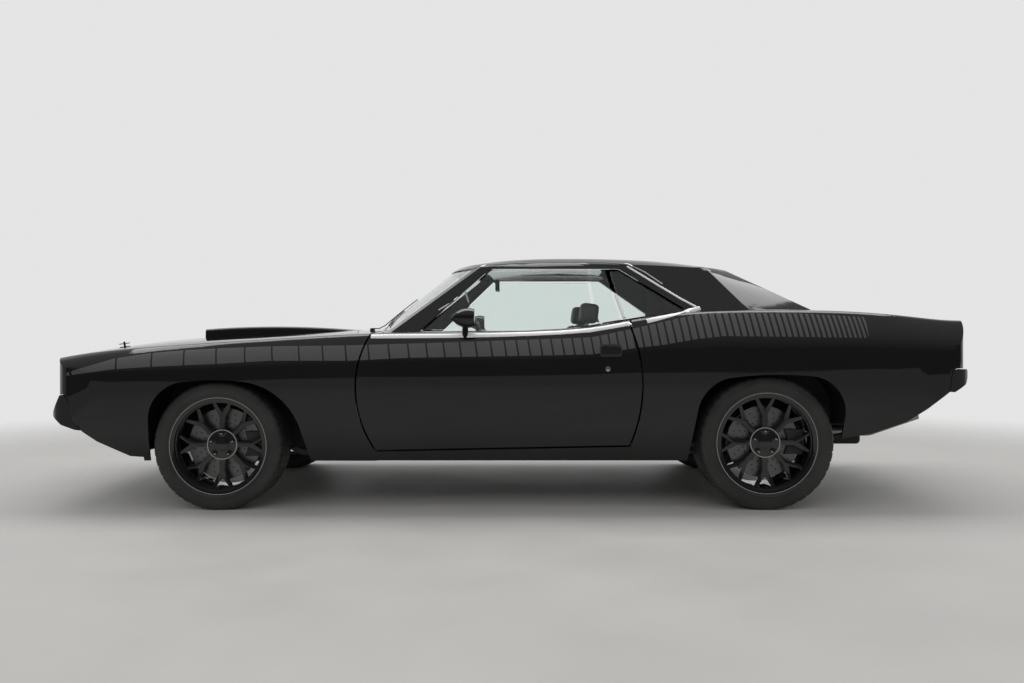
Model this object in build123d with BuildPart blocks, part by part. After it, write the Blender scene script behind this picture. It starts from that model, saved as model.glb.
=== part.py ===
"""Two-door hardtop muscle coupe, about 1970, lowered on wide deep-dish wheels.

+X points to the tail, +Y to the car's right side and +Z up, in millimetres.
The origin is on the ground, on the centreline, halfway along the car.
Left-hand pieces are drawn on the -Y side, and right-hand ones are their mirror images.
"""

import math
import os

from build123d import *

os.makedirs("parts", exist_ok=True)

# Overall sizes
wheelbase = 2743.0
front_overhang = 916.0
rear_overhang = 1082.5
overall_height = 1305.0
body_width = 1902.0
overall_length = front_overhang + wheelbase + rear_overhang
half_width = body_width / 2
nose_x = -overall_length / 2
tail_x = overall_length / 2
front_axle_x = nose_x + front_overhang
rear_axle_x = front_axle_x + wheelbase

# Walls and running gaps
panel_thickness = 14.0
hood_thickness = 20.0
door_thickness = 88.0
pillar_thickness = 34.0
glass_thickness = 5.0
panel_gap = 6.0
hinge_gap = 9.0
lid_gap = 7.0
glass_gap = 9.0
sheet_thickness = 6.0
overrun = 400.0

# Lower body
sill_height = 242.0
shoulder_radius = 42.0
nose_bow_radius = 6000.0
tail_bow_radius = 7500.0
corner_radius = 90.0
nose_setback = 35.0
tail_setback = 22.0

# Doors
door_length = 1290.0
door_front_setback = 764.5
door_edge_bulge = 78.0
door_rear_bulge = 54.0
door_bottom_height = 300.0
door_bottom_rise = 24.0
door_front_lean = 24.0
door_rear_lean = 6.0
door_flange = 24.0

# Hood and deck lid
hood_half_width_front = 690.0
hood_half_width_rear = 728.0
hood_rear_setback = 672.0
hood_rear_bow = 70.0
hood_lip_height = 700.0
deck_half_width = 690.0
deck_front_setback = 376.0
deck_front_bow = 40.0
deck_lip_height = 902.0

# Wheels
front_tyre_radius = 320.0
rear_tyre_radius = 334.0
front_tyre_width = 240.0
rear_tyre_width = 284.0
front_rim_radius = 246.0
rear_rim_radius = 256.0
wheel_face_y = 905.0
tyre_bulge = 8.0
front_dish = 77.0
rear_dish = 44.0
rim_wall = 9.0
spoke_count = 8
spoke_depth = 24.0
hub_radius = 78.0
cap_radius = 34.0
lug_circle = 114.3
lug_count = 5
lug_radius = 10.0
disc_radius = 182.0
disc_thickness = 28.0
kingpin_y = 700.0


def along(share):
    """Place along the car, as a share of its length from the nose."""
    return nose_x + share * overall_length


def up(share):
    """Height, as a share of the overall height."""
    return share * overall_height


def out(share):
    """Distance from the centreline, as a share of half the body width."""
    return share * half_width


def add_box(low, high, mode=Mode.ADD):
    """Box between two opposite corners, in the active part."""
    middle = [(a + b) / 2 for a, b in zip(low, high)]
    size = [b - a for a, b in zip(low, high)]
    with Locations(tuple(middle)):
        Box(*size, mode=mode)


def mirrored(solid):
    """The same piece on the other side of the car."""
    with BuildPart() as other:
        add(mirror(solid, about=Plane.XZ, mode=Mode.PRIVATE))
    return other.part


def save(solid, name):
    """Label a finished piece and write it."""
    solid.label = name
    export_step(solid, f"parts/{name}.step")


# Columns: station, waist half width, waist height, shoulder half width, shoulder height,
# crown height, sill half width. Stations are shares of the length, widths of half the
# body width and heights of the overall height.
body_section_shares = [
    (-0.0050, 0.9201, 0.4904, 0.8307, 0.5632, 0.5709, 0.8412),
    (0.0817, 0.9727, 0.4943, 0.8728, 0.6130, 0.6421, 0.8938),
    (0.1932, 0.9937, 0.4996, 0.9022, 0.6421, 0.6743, 0.9022),
    (0.3454, 1.0000, 0.5096, 0.9169, 0.6743, 0.6958, 0.9106),
    (0.5000, 1.0000, 0.5170, 0.9169, 0.6843, 0.7050, 0.9106),
    (0.5900, 1.0000, 0.5215, 0.9160, 0.7034, 0.7250, 0.9106),
    (0.6600, 1.0000, 0.5265, 0.9120, 0.7450, 0.7670, 0.9106),
    (0.7350, 1.0000, 0.5315, 0.9000, 0.7640, 0.7860, 0.9106),
    (0.8200, 0.9920, 0.5375, 0.8830, 0.7650, 0.7840, 0.9050),
    (0.9100, 0.9660, 0.5430, 0.8560, 0.7502, 0.7670, 0.8890),
    (1.0050, 0.9232, 0.5479, 0.8254, 0.7318, 0.7390, 0.8517),
]


def body_hull(inset):
    """Solid lower body, drawn in by the inset on its sides and top."""
    with BuildPart() as hull:
        for station, waist, waist_z, shoulder, shoulder_z, crown_z, sill in body_section_shares:
            low = (out(sill) - inset, sill_height)
            mid = (out(waist) - inset, up(waist_z))
            top = (out(shoulder) - inset, up(shoulder_z) - inset)
            with BuildSketch(Plane.YZ.offset(along(station))) as section:
                with BuildLine():
                    TangentArc(mid, low, tangent=(0, -1))
                    TangentArc(mid, top, tangent=(0, 1))
                    ThreePointArc(top, (0, up(crown_z) - inset), (-top[0], top[1]))
                    TangentArc((-mid[0], mid[1]), (-top[0], top[1]), tangent=(0, 1))
                    TangentArc((-mid[0], mid[1]), (-low[0], low[1]), tangent=(0, -1))
                    Line((-low[0], low[1]), low)
                make_face()
                fillet(section.vertices().sort_by(Axis.Y)[-2:], shoulder_radius)
        loft()
    return hull.part


def bow_depth(radius, half_chord):
    """How far an arc of that radius stands out over half its chord."""
    return radius - math.sqrt(radius**2 - half_chord**2)


# Half widths of the body seen from above, at the nose corner, front, tail and tail corner
plan_nose_share = 0.917
plan_front_share = 0.99
plan_tail_share = 0.99
plan_tail_corner_share = 0.921
plan_front_station_share = 0.0817
plan_tail_station_share = 0.8832


def body_plan(inset):
    """Outline of the body from above, with bowed nose and tail."""
    nose_w = out(plan_nose_share) - inset
    tail_w = out(plan_tail_corner_share) - inset
    front = nose_x + nose_setback + inset
    rear = tail_x - tail_setback - inset
    front_corner = front + bow_depth(nose_bow_radius, nose_w)
    rear_corner = rear - bow_depth(tail_bow_radius, tail_w)
    front_side = (along(plan_front_station_share), out(plan_front_share) - inset)
    rear_side = (along(plan_tail_station_share), out(plan_tail_share) - inset)
    wide = half_width + corner_radius
    with BuildSketch() as plan:
        with BuildLine():
            ThreePointArc((front_corner, -nose_w), (front, 0), (front_corner, nose_w))
            Polyline((front_corner, nose_w), front_side, (front_axle_x, wide),
                     (rear_axle_x, wide), rear_side, (rear_corner, tail_w))
            ThreePointArc((rear_corner, tail_w), (rear, 0), (rear_corner, -tail_w))
            Polyline((rear_corner, -tail_w), (rear_side[0], -rear_side[1]), (rear_axle_x, -wide),
                     (front_axle_x, -wide), (front_side[0], -front_side[1]),
                     (front_corner, -nose_w))
        make_face()
        ends = plan.vertices().sort_by(Axis.X)
        fillet(ends[:2] + ends[-2:], corner_radius)
    return plan.sketch


def trimmed_hull(inset):
    """Solid lower body with its bowed nose and tail."""
    with BuildPart() as hull:
        add(body_hull(inset))
        extrude(body_plan(inset), amount=overall_height, mode=Mode.INTERSECT)
    return hull.part


hull_outer = trimmed_hull(0)
hull_inner = trimmed_hull(panel_thickness)
hull_door_inner = trimmed_hull(door_thickness)


# Wheel arches, as places relative to the axle in shares of the tyre radius
front_arch_top_share = 2.035
rear_arch_top_share = 2.03
front_arch_shares = {
    "foot_front": (-1.110, 0.72),
    "shoulder_front": (-1.075, 1.43),
    "curve_front": (-0.900, 1.815),
    "crown_front": (-0.530, 2.005),
    "crown_rear": (0.490, 2.000),
    "curve_rear": (1.010, 1.735),
    "shoulder_rear": (1.297, 1.250),
    "foot_rear": (1.480, 0.60),
}
rear_arch_shares = {
    "foot_front": (-1.200, 0.60),
    "shoulder_front": (-1.060, 1.45),
    "curve_front": (-0.930, 1.770),
    "crown_front": (-0.620, 1.975),
    "crown_rear": (0.700, 2.000),
    "curve_rear": (1.040, 1.790),
    "shoulder_rear": (1.150, 1.360),
    "foot_rear": (1.080, 0.60),
}


def arch_outline(axle_x, radius, shares, top_share, grow=0.0):
    """Side view of a wheel arch opening, down past the sill."""
    place = {name: (axle_x + x * radius, z * radius) for name, (x, z) in shares.items()}
    top = (axle_x, top_share * radius)
    with BuildSketch(Plane.XZ) as arch:
        with BuildLine():
            Line(place["foot_front"], place["shoulder_front"])
            ThreePointArc(place["shoulder_front"], place["curve_front"], place["crown_front"])
            ThreePointArc(place["crown_front"], top, place["crown_rear"])
            ThreePointArc(place["crown_rear"], place["curve_rear"], place["shoulder_rear"])
            Line(place["shoulder_rear"], place["foot_rear"])
            Line(place["foot_rear"], place["foot_front"])
        make_face()
        if grow:
            offset(amount=grow, kind=Kind.INTERSECTION)
    return arch.sketch


front_arch = arch_outline(front_axle_x, front_tyre_radius, front_arch_shares, front_arch_top_share)
rear_arch = arch_outline(rear_axle_x, rear_tyre_radius, rear_arch_shares, rear_arch_top_share)

# Lower edge of the body ahead of the front arch and behind the rear one,
# as shares of the overall length and height
front_low_edge_shares = [(0.0271, 0.4400), (0.0324, 0.4077), (0.0368, 0.3540), (0.0461, 0.3050),
                         (0.0636, 0.2613), (0.0980, 0.2031), (0.1120, 0.2000)]
rear_low_edge_shares = [(0.8400, 0.2680), (0.8503, 0.2736), (0.8829, 0.2927), (0.9194, 0.3372),
                        (0.9409, 0.3854), (0.9654, 0.4520), (0.9700, 0.4900)]


def low_cut_outline(edge_shares, end_x):
    """Side view of what is cut away below a rising lower edge, out to the car's end."""
    edge = [(along(x), up(z)) for x, z in edge_shares]
    last = edge[0] if end_x < 0 else edge[-1]
    first = edge[-1] if end_x < 0 else edge[0]
    corners = [(end_x, last[1]), (end_x, -overrun), (first[0], -overrun)]
    with BuildSketch(Plane.XZ) as cut:
        with BuildLine():
            if end_x < 0:
                Polyline(*edge, corners[2], corners[1], corners[0], close=True)
            else:
                Polyline(*edge, corners[0], corners[1], corners[2], close=True)
        make_face()
    return cut.sketch


front_low_cut = low_cut_outline(front_low_edge_shares, nose_x - overrun)
rear_low_cut = low_cut_outline(rear_low_edge_shares, tail_x + overrun)

# Door, hood and deck outlines
door_front_x = front_axle_x + door_front_setback
door_rear_x = door_front_x + door_length
door_top_z = overall_height
door_belt_share = 0.675
door_belt_z = up(door_belt_share)


def door_outline(grow):
    """Side view of the left door below its glass, grown by a gap where one is given."""
    front_top = (door_front_x, door_belt_z)
    front_low = (door_front_x + door_front_lean, door_bottom_height)
    rear_low = (door_rear_x, door_bottom_height + door_bottom_rise)
    rear_top = (door_rear_x + door_rear_lean, door_belt_z + door_bottom_rise)
    front_mid = ((front_top[0] + front_low[0]) / 2 - door_edge_bulge,
                 (front_top[1] + front_low[1]) / 2)
    rear_mid = ((rear_top[0] + rear_low[0]) / 2 + door_rear_bulge,
                (rear_top[1] + rear_low[1]) / 2)
    with BuildSketch(Plane.XZ) as door:
        with BuildLine():
            ThreePointArc(front_top, front_mid, front_low)
            Line(front_low, rear_low)
            ThreePointArc(rear_low, rear_mid, rear_top)
            Polyline(rear_top, (rear_top[0], door_top_z), (front_top[0], door_top_z), front_top)
        make_face()
        if grow:
            offset(amount=grow, kind=Kind.INTERSECTION)
    return door.sketch


hood_rear_x = front_axle_x + hood_rear_setback
deck_front_x = rear_axle_x + deck_front_setback


def hood_outline(grow):
    """Hood from above: straight sides and a rear edge bowed towards the nose."""
    front = nose_x - overrun
    with BuildSketch() as hood:
        with BuildLine():
            Polyline((front, -hood_half_width_front - grow), (front, hood_half_width_front + grow),
                     (hood_rear_x + grow, hood_half_width_rear + grow))
            ThreePointArc((hood_rear_x + grow, hood_half_width_rear + grow),
                          (hood_rear_x - hood_rear_bow + grow, 0),
                          (hood_rear_x + grow, -hood_half_width_rear - grow))
            Line((hood_rear_x + grow, -hood_half_width_rear - grow),
                 (front, -hood_half_width_front - grow))
        make_face()
    return hood.sketch


def deck_outline(grow):
    """Deck lid from above, its front edge bowed towards the tail."""
    rear = tail_x + overrun
    width = deck_half_width + grow
    with BuildSketch() as deck:
        with BuildLine():
            Polyline((deck_front_x - grow, width), (rear, width), (rear, -width),
                     (deck_front_x - grow, -width))
            ThreePointArc((deck_front_x - grow, -width), (deck_front_x + deck_front_bow - grow, 0),
                          (deck_front_x - grow, width))
        make_face()
    return deck.sketch


# Greenhouse: outlines at the belt and above the roof, joined by straight rulings.
# Columns: height, screen centre x, screen corner x, screen corner y, side middle x, side
# middle y, rear side x, rear side y, rear corner x, rear corner y, rear centre x.
# Heights are shares of the overall height, x of the length and y of half the width.
greenhouse_levels_shares = [
    (0.6743, 0.3363, 0.3707, 0.8596, 0.5837, 0.8833, 0.7821, 0.8620, 0.8933, 0.6730, 0.9068),
    (0.9962, 0.4462, 0.4867, 0.6181, 0.5837, 0.6067, 0.7060, 0.6046, 0.7092, 0.5258, 0.7165),
]
screen_lean = 1.6
backlight_lean = 2.3
side_lean = 1.2
sail_radius = 60.0
roof_rail_height = 1241.0
roof_rail_y = 624.0
roof_plateau_y = 470.0
roof_plateau_drop = 17.0
# Columns: station along the length, drop of the roof below its peak as a share of the height
roof_drop_shares = [
    (0.3000, 0.2300), (0.4200, 0.0620), (0.4700, 0.0190), (0.5400, 0.0000), (0.6300, 0.0035),
    (0.7000, 0.0230), (0.7700, 0.0700), (0.9500, 0.2900),
]


def roof_block(inset):
    """Everything below the crowned roof skin, drawn in by the inset."""
    wide = half_width + overrun
    with BuildPart() as block:
        for station, drop_share in roof_drop_shares:
            drop = up(drop_share) + inset
            rail = (roof_rail_y, roof_rail_height - up(drop_share) / 3 - inset)
            plateau = (roof_plateau_y, overall_height - roof_plateau_drop - drop)
            crown = (0, overall_height - drop)
            with BuildSketch(Plane.YZ.offset(along(station))):
                with BuildLine():
                    ThreePointArc((-plateau[0], plateau[1]), crown, plateau)
                    TangentArc(plateau, rail, tangent=(1, -2 * roof_plateau_drop / plateau[0]))
                    Polyline(rail, (wide, rail[1]), (wide, 0), (-wide, 0), (-wide, rail[1]),
                             (-rail[0], rail[1]))
                    TangentArc((-plateau[0], plateau[1]), (-rail[0], rail[1]),
                               tangent=(-1, -2 * roof_plateau_drop / plateau[0]))
                make_face()
        loft()
    return block.part


def greenhouse(inset):
    """Solid cabin above the belt, drawn in by the inset on every side and the roof."""
    with BuildPart() as cabin:
        for (height, screen_x, screen_cx, screen_cy, side_x, side_y, rear_x, rear_y,
             back_cx, back_cy, back_x) in greenhouse_levels_shares:
            front = screen_lean * inset
            back = backlight_lean * inset
            side = side_lean * inset
            screen = (along(screen_x) + front, 0)
            screen_corner = (along(screen_cx) + front, out(screen_cy) - side)
            middle = (along(side_x), out(side_y) - side)
            rear = (along(rear_x) - side, out(rear_y) - side)
            corner = (along(back_cx) - back, out(back_cy) - side)
            rear_middle = (along(back_x) - back, 0)
            with BuildSketch(Plane.XY.offset(up(height))) as level:
                with BuildLine():
                    ThreePointArc((screen_corner[0], -screen_corner[1]), screen, screen_corner)
                    ThreePointArc(screen_corner, middle, rear)
                    Line(rear, corner)
                    ThreePointArc(corner, rear_middle, (corner[0], -corner[1]))
                    Line((corner[0], -corner[1]), (rear[0], -rear[1]))
                    ThreePointArc((rear[0], -rear[1]), (middle[0], -middle[1]),
                                  (screen_corner[0], -screen_corner[1]))
                make_face()
        loft(ruled=True)
        add(roof_block(inset), mode=Mode.INTERSECT)
    return cabin.part


cabin_outer = greenhouse(0)
cabin_inner = greenhouse(pillar_thickness)

# Window openings. Side outline corners are shares of the length and height.
side_window_shares = {
    "front_low": (0.3930, 0.6500),
    "front_top": (0.4790, 0.9370),
    "rear_top": (0.6215, 0.9370),
    "rear_low": (0.6885, 0.7780),
    "rear_foot": (0.6960, 0.6500),
}
side_window_radius = 40.0
window_reach_share = 0.47
division_top_share = (0.6073, 0.9700)
division_low_share = (0.6250, 0.6900)
division_width = 16.0


def side_window(grow):
    """Side view of the window opening between the pillars."""
    place = {name: (along(x), up(z)) for name, (x, z) in side_window_shares.items()}
    with BuildSketch(Plane.XZ) as window:
        with BuildLine():
            Polyline(*place.values(), close=True)
        make_face()
        fillet(window.vertices().group_by(Axis.Y)[-1], side_window_radius)
        if grow:
            offset(amount=grow)
    return window.sketch


def division_side(shift, ahead):
    """Side view of everything ahead of, or behind, the bar between door and quarter glass."""
    top = (along(division_top_share[0]) + shift, up(division_top_share[1]))
    low = (along(division_low_share[0]) + shift, up(division_low_share[1]))
    far = nose_x if ahead else tail_x
    with BuildSketch(Plane.XZ) as side:
        with BuildLine():
            Polyline(top, low, (far, low[1]), (far, top[1]), close=True)
        make_face()
    return side.sketch


# Front and rear screens: half widths as shares of half the body width, heights of the height
screen_low_share = (0.8070, 0.6300)
screen_top_share = (0.6170, 0.9420)
screen_end_share = 0.50
backlight_low_share = (0.6100, 0.6300)
backlight_top_share = (0.5150, 0.9440)
backlight_start_share = 0.70
screen_radius = 45.0


def screen_outline(low_share, top_share, grow=0.0):
    """Front view of a screen opening."""
    low = (out(low_share[0]), up(low_share[1]))
    top = (out(top_share[0]), up(top_share[1]))
    with BuildSketch(Plane.YZ) as screen:
        with BuildLine():
            Polyline((-low[0], low[1]), low, top, (-top[0], top[1]), close=True)
        make_face()
        fillet(screen.vertices().sort_by(Axis.Y)[-2:], screen_radius)
        if grow:
            offset(amount=grow, kind=Kind.INTERSECTION)
    return screen.sketch


def screen_prism(low_share, top_share, start_share, end_share, grow=0.0):
    """A screen opening run along the car between two stations."""
    start = along(start_share)
    with BuildPart() as prism:
        outline = screen_outline(low_share, top_share, grow)
        extrude(outline.moved(Location((start, 0, 0))), amount=along(end_share) - start)
    return prism.part


def windscreen_prism(grow=0.0):
    """The windscreen opening."""
    return screen_prism(screen_low_share, screen_top_share, 0, screen_end_share, grow)


def backlight_prism(grow=0.0):
    """The rear window opening."""
    return screen_prism(backlight_low_share, backlight_top_share, backlight_start_share, 1, grow)


def side_window_prism(grow=0.0):
    """The left window opening, clear of the roof's middle."""
    with BuildPart() as prism:
        extrude(side_window(grow).moved(Location((0, -out(window_reach_share), 0))), amount=half_width)
    return prism.part


with BuildPart() as roof:
    add(cabin_outer)
    add(cabin_inner, mode=Mode.SUBTRACT)
    add(hull_outer, mode=Mode.SUBTRACT)
    add(windscreen_prism(), mode=Mode.SUBTRACT)
    add(backlight_prism(), mode=Mode.SUBTRACT)
    left_window = side_window_prism()
    add(left_window, mode=Mode.SUBTRACT)
    add(mirrored(left_window), mode=Mode.SUBTRACT)
save(roof.part, "roof")


def glass_layer(depth):
    """A pane's thickness of the cabin skin, at a depth below it."""
    with BuildPart() as layer:
        add(greenhouse(depth))
        add(greenhouse(depth + glass_thickness), mode=Mode.SUBTRACT)
        add(hull_outer, mode=Mode.SUBTRACT)
    return layer.part


screen_depth = 5.0
side_glass_depth = 9.0
screen_layer = glass_layer(screen_depth)
side_layer = glass_layer(side_glass_depth)

with BuildPart() as windscreen:
    add(screen_layer)
    add(windscreen_prism(), mode=Mode.INTERSECT)
save(windscreen.part, "windscreen")

with BuildPart() as rear_window:
    add(screen_layer)
    add(backlight_prism(), mode=Mode.INTERSECT)
save(rear_window.part, "rear_window")

with BuildPart() as quarter_glass_left:
    add(side_layer)
    add(left_window, mode=Mode.INTERSECT)
    extrude(division_side(division_width / 2, False), amount=half_width, mode=Mode.INTERSECT)

with BuildPart() as quarter_glass:
    add(quarter_glass_left.part)
    add(mirrored(quarter_glass_left.part))
save(quarter_glass.part, "quarter_glass")

with BuildPart() as door_glass_left:
    add(side_layer)
    add(side_window_prism(-glass_gap), mode=Mode.INTERSECT)
    extrude(division_side(-division_width / 2 - glass_gap, True), amount=half_width,
            mode=Mode.INTERSECT)
save(door_glass_left.part, "door_glass_left")
save(mirrored(door_glass_left.part), "door_glass_right")


def left_side(solid_or_sketch):
    """Run a side view out to the left, past the body side."""
    with BuildPart() as prism:
        extrude(solid_or_sketch, amount=half_width + overrun)
    return prism.part


door_opening = left_side(door_outline(hinge_gap))
hood_opening = hood_outline(lid_gap)
deck_opening = deck_outline(lid_gap)

# Door: outer skin to the full outline, and a thick inner box set in from it all round
door_top_y = 786.0
pillar_foot_x = along(0.3930)
pillar_foot_y = out(0.8700)
notch_height = up(0.6500)

with BuildPart() as door_box:
    add(hull_inner)
    add(hull_door_inner, mode=Mode.SUBTRACT)
    add(left_side(door_outline(-door_flange)), mode=Mode.INTERSECT)

with BuildPart() as door_left:
    add(hull_outer)
    add(hull_inner, mode=Mode.SUBTRACT)
    add(left_side(door_outline(0)), mode=Mode.INTERSECT)
    add(door_box.part)
    add_box((nose_x, -door_top_y, 0), (tail_x, half_width, overall_height), mode=Mode.SUBTRACT)
    add_box((nose_x, -pillar_foot_y, notch_height), (pillar_foot_x, 0, overall_height),
            mode=Mode.SUBTRACT)
save(door_left.part, "door_left")
save(mirrored(door_left.part), "door_right")

# Body shell that the fixed panels are cut from
with BuildPart() as body_shell:
    add(hull_outer)
    add(hull_inner, mode=Mode.SUBTRACT)

# Bumpers: one side profile swung along the bow of the nose or tail, with wrapped ends
bumper_wall = 60.0
bumper_side_wall = 30.0
bumper_gap = 4.0
bumper_swing = 20.0
bumper_plan_margin = 1.0
bumper_end_share = 0.93
front_bumper_shares = [(0.0104, 0.4390), (0.0, 0.3620), (0.0121, 0.3250), (0.0265, 0.3060),
                       (0.0325, 0.3035), (0.0248, 0.3540), (0.0204, 0.4077), (0.0151, 0.4390)]
rear_bumper_shares = [(0.9846, 0.5390), (0.9968, 0.5390), (1.0, 0.5200), (0.9954, 0.4812),
                      (0.9821, 0.4506), (0.9770, 0.4520), (0.9800, 0.5300)]




def bumper_plan(tip_x, bow_radius, end_half_width):
    """Bumper from above, with rounded corners."""
    towards = 1 if tip_x > 0 else -1
    corner_x = tip_x - towards * bow_depth(bow_radius, end_half_width)
    with BuildSketch() as plan:
        with BuildLine():
            ThreePointArc((corner_x, -end_half_width), (tip_x, 0), (corner_x, end_half_width))
            Polyline((corner_x, end_half_width), (0, end_half_width), (0, -end_half_width),
                     (corner_x, -end_half_width))
        make_face()
        corners = plan.vertices().sort_by(Axis.X)
        fillet(corners[-2:] if towards > 0 else corners[:2], corner_radius)
    return plan.sketch


def bumper_block(shares, tip_x, bow_radius, grow):
    """Solid bumper from its side profile, swung about a far upright axis."""
    towards = 1 if tip_x > 0 else -1
    axis_x = tip_x - towards * bow_radius
    with BuildPart() as half:
        with BuildSketch(Plane.XZ):
            with BuildLine():
                Polyline(*[(along(x), up(z)) for x, z in shares], close=True)
            make_face()
            if grow:
                offset(amount=grow, kind=Kind.INTERSECTION)
        revolve(axis=Axis((axis_x, 0, 0), (0, 0, 1)), revolution_arc=bumper_swing)
    with BuildPart() as block:
        add(half.part)
        add(mirrored(half.part))
        with BuildSketch():
            add(bumper_plan(tip_x + towards * bumper_plan_margin, bow_radius,
                            out(bumper_end_share) + grow))
        extrude(amount=overall_height, mode=Mode.INTERSECT)
    return block.part


def bumper(shares, tip_x, bow_radius):
    """Hollow bumper, open towards the car."""
    towards = 1 if tip_x > 0 else -1
    with BuildPart() as bar:
        add(bumper_block(shares, tip_x, bow_radius, 0))
        with BuildSketch():
            add(bumper_plan(tip_x - towards * bumper_wall, bow_radius,
                            out(bumper_end_share) - bumper_side_wall))
        extrude(amount=overall_height, mode=Mode.SUBTRACT)
    return bar.part


front_bumper_space = bumper_block(front_bumper_shares, nose_x, nose_bow_radius, bumper_gap)
rear_bumper_space = bumper_block(rear_bumper_shares, tail_x, tail_bow_radius, bumper_gap)

# Fender: from the nose to the door, outside the hood seam
fender_seam_y = hood_half_width_front + lid_gap
cowl_half_width = hood_half_width_rear
cowl_front_x = door_front_x - 190.0
fender_rear_x = door_front_x + door_front_lean
opening_half_width = 752.0
opening_low_z = 576.0
opening_top_z = 698.0
opening_radius = 34.0

with BuildSketch(Plane.YZ) as grille_opening:
    with Locations((0, (opening_low_z + opening_top_z) / 2)):
        RectangleRounded(2 * opening_half_width, opening_top_z - opening_low_z, opening_radius)

with BuildPart() as opening_prism:
    extrude(grille_opening.sketch.moved(Location((nose_x - overrun, 0, 0))),
            amount=overrun + front_overhang / 2)

with BuildPart() as hood_prism:
    extrude(hood_opening.moved(Location((0, 0, hood_lip_height))), amount=overall_height)

with BuildPart() as front_fender_left:
    add(body_shell.part)
    add_box((nose_x - overrun, -half_width - overrun, 0),
            (fender_rear_x, -fender_seam_y, overall_height), mode=Mode.INTERSECT)
    add(hood_prism.part, mode=Mode.SUBTRACT)
    add(door_opening, mode=Mode.SUBTRACT)
    add_box((cowl_front_x, -cowl_half_width, notch_height), (tail_x, 0, overall_height),
            mode=Mode.SUBTRACT)
    extrude(front_arch, amount=half_width + overrun, mode=Mode.SUBTRACT)
    extrude(front_low_cut, amount=half_width + overrun, mode=Mode.SUBTRACT)
    add(opening_prism.part, mode=Mode.SUBTRACT)
    add(front_bumper_space, mode=Mode.SUBTRACT)
save(front_fender_left.part, "front_fender_left")
save(mirrored(front_fender_left.part), "front_fender_right")

# Cowl: the panel between hood and windscreen, out to the pillar feet
with BuildPart() as cowl:
    add(body_shell.part)
    add_box((cowl_front_x, -cowl_half_width, notch_height),
            (pillar_foot_x - panel_gap, cowl_half_width, overall_height), mode=Mode.INTERSECT)
    add(hood_prism.part, mode=Mode.SUBTRACT)
with BuildPart() as cowl_ends:
    add(body_shell.part)
    add_box((door_front_x + panel_gap, -pillar_foot_y + panel_gap, notch_height),
            (pillar_foot_x - panel_gap, pillar_foot_y - panel_gap, overall_height),
            mode=Mode.INTERSECT)
with BuildPart() as cowl_panel:
    add(cowl.part)
    add(cowl_ends.part)
save(cowl_panel.part, "cowl_panel")

# Quarter panel: from the door to the tail, with the rear wheel arch
shelf_half_width = 742.0
shelf_front_x = rear_axle_x - 190.0
deck_seam_y = deck_half_width + lid_gap
rocker_rear_x = rear_axle_x - rear_tyre_radius
rocker_top_z = door_bottom_height + door_bottom_rise - panel_gap
tail_opening_half_width = 776.0
tail_opening_low_z = 712.0
tail_opening_top_z = 890.0

with BuildSketch(Plane.YZ) as tail_opening:
    with Locations((0, (tail_opening_low_z + tail_opening_top_z) / 2)):
        RectangleRounded(2 * tail_opening_half_width, tail_opening_top_z - tail_opening_low_z,
                         opening_radius)

with BuildPart() as tail_prism:
    extrude(tail_opening.sketch.moved(Location((tail_x - rear_overhang / 2, 0, 0))),
            amount=overrun + rear_overhang / 2)

with BuildPart() as deck_prism:
    extrude(deck_opening.moved(Location((0, 0, deck_lip_height))), amount=overall_height)

with BuildPart() as quarter_panel_left:
    add(body_shell.part)
    add_box((door_rear_x - overrun, -half_width - overrun, 0),
            (tail_x + overrun, -deck_seam_y, overall_height), mode=Mode.INTERSECT)
    add(door_opening, mode=Mode.SUBTRACT)
    add_box((nose_x, -half_width - overrun, 0), (rocker_rear_x, half_width, rocker_top_z),
            mode=Mode.SUBTRACT)
    add_box((nose_x, -half_width - overrun, 0), (door_rear_x - door_rear_bulge, half_width,
                                                 overall_height), mode=Mode.SUBTRACT)
    add_box((nose_x, -shelf_half_width, notch_height),
            (deck_front_x + deck_front_bow, 0, overall_height), mode=Mode.SUBTRACT)
    add(deck_prism.part, mode=Mode.SUBTRACT)
    extrude(rear_arch, amount=half_width + overrun, mode=Mode.SUBTRACT)
    extrude(rear_low_cut, amount=half_width + overrun, mode=Mode.SUBTRACT)
    add(tail_prism.part, mode=Mode.SUBTRACT)
    add(rear_bumper_space, mode=Mode.SUBTRACT)
save(quarter_panel_left.part, "quarter_panel_left")
save(mirrored(quarter_panel_left.part), "quarter_panel_right")

# Rear shelf: the panel under and behind the rear window, ahead of the deck lid
with BuildPart() as rear_shelf:
    add(body_shell.part)
    add_box((shelf_front_x, -shelf_half_width, notch_height),
            (deck_front_x + deck_front_bow, shelf_half_width, overall_height), mode=Mode.INTERSECT)
    add(deck_prism.part, mode=Mode.SUBTRACT)
save(rear_shelf.part, "rear_shelf")

# Rockers under the doors, planed flat below for a jack
jack_face_z = 244.0
with BuildPart() as rocker_left:
    add(hull_outer)
    add(hull_door_inner, mode=Mode.SUBTRACT)
    add_box((fender_rear_x, -half_width - overrun, 0), (rocker_rear_x, -half_width / 2,
                                                        rocker_top_z), mode=Mode.INTERSECT)
    add(door_opening, mode=Mode.SUBTRACT)
    extrude(rear_arch, amount=half_width + overrun, mode=Mode.SUBTRACT)
    add_box((nose_x, -half_width, 0), (tail_x, 0, jack_face_z), mode=Mode.SUBTRACT)
with BuildPart() as rockers:
    add(rocker_left.part)
    add(mirrored(rocker_left.part))
save(rockers.part, "rockers")

# Hood with its raised scoop, open at the front
hull_hood_inner = trimmed_hull(hood_thickness)
scoop_front_x = front_axle_x - 250.0
scoop_rear_x = front_axle_x + 560.0
scoop_half_width = 300.0
scoop_rear_half_width = 250.0
scoop_front_height = 908.0
scoop_middle_height = 923.0
scoop_rear_height = 906.0
scoop_roof = 9.0
scoop_mouth_depth = 260.0
scoop_foot = 700.0
scoop_edge = 18.0


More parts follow.
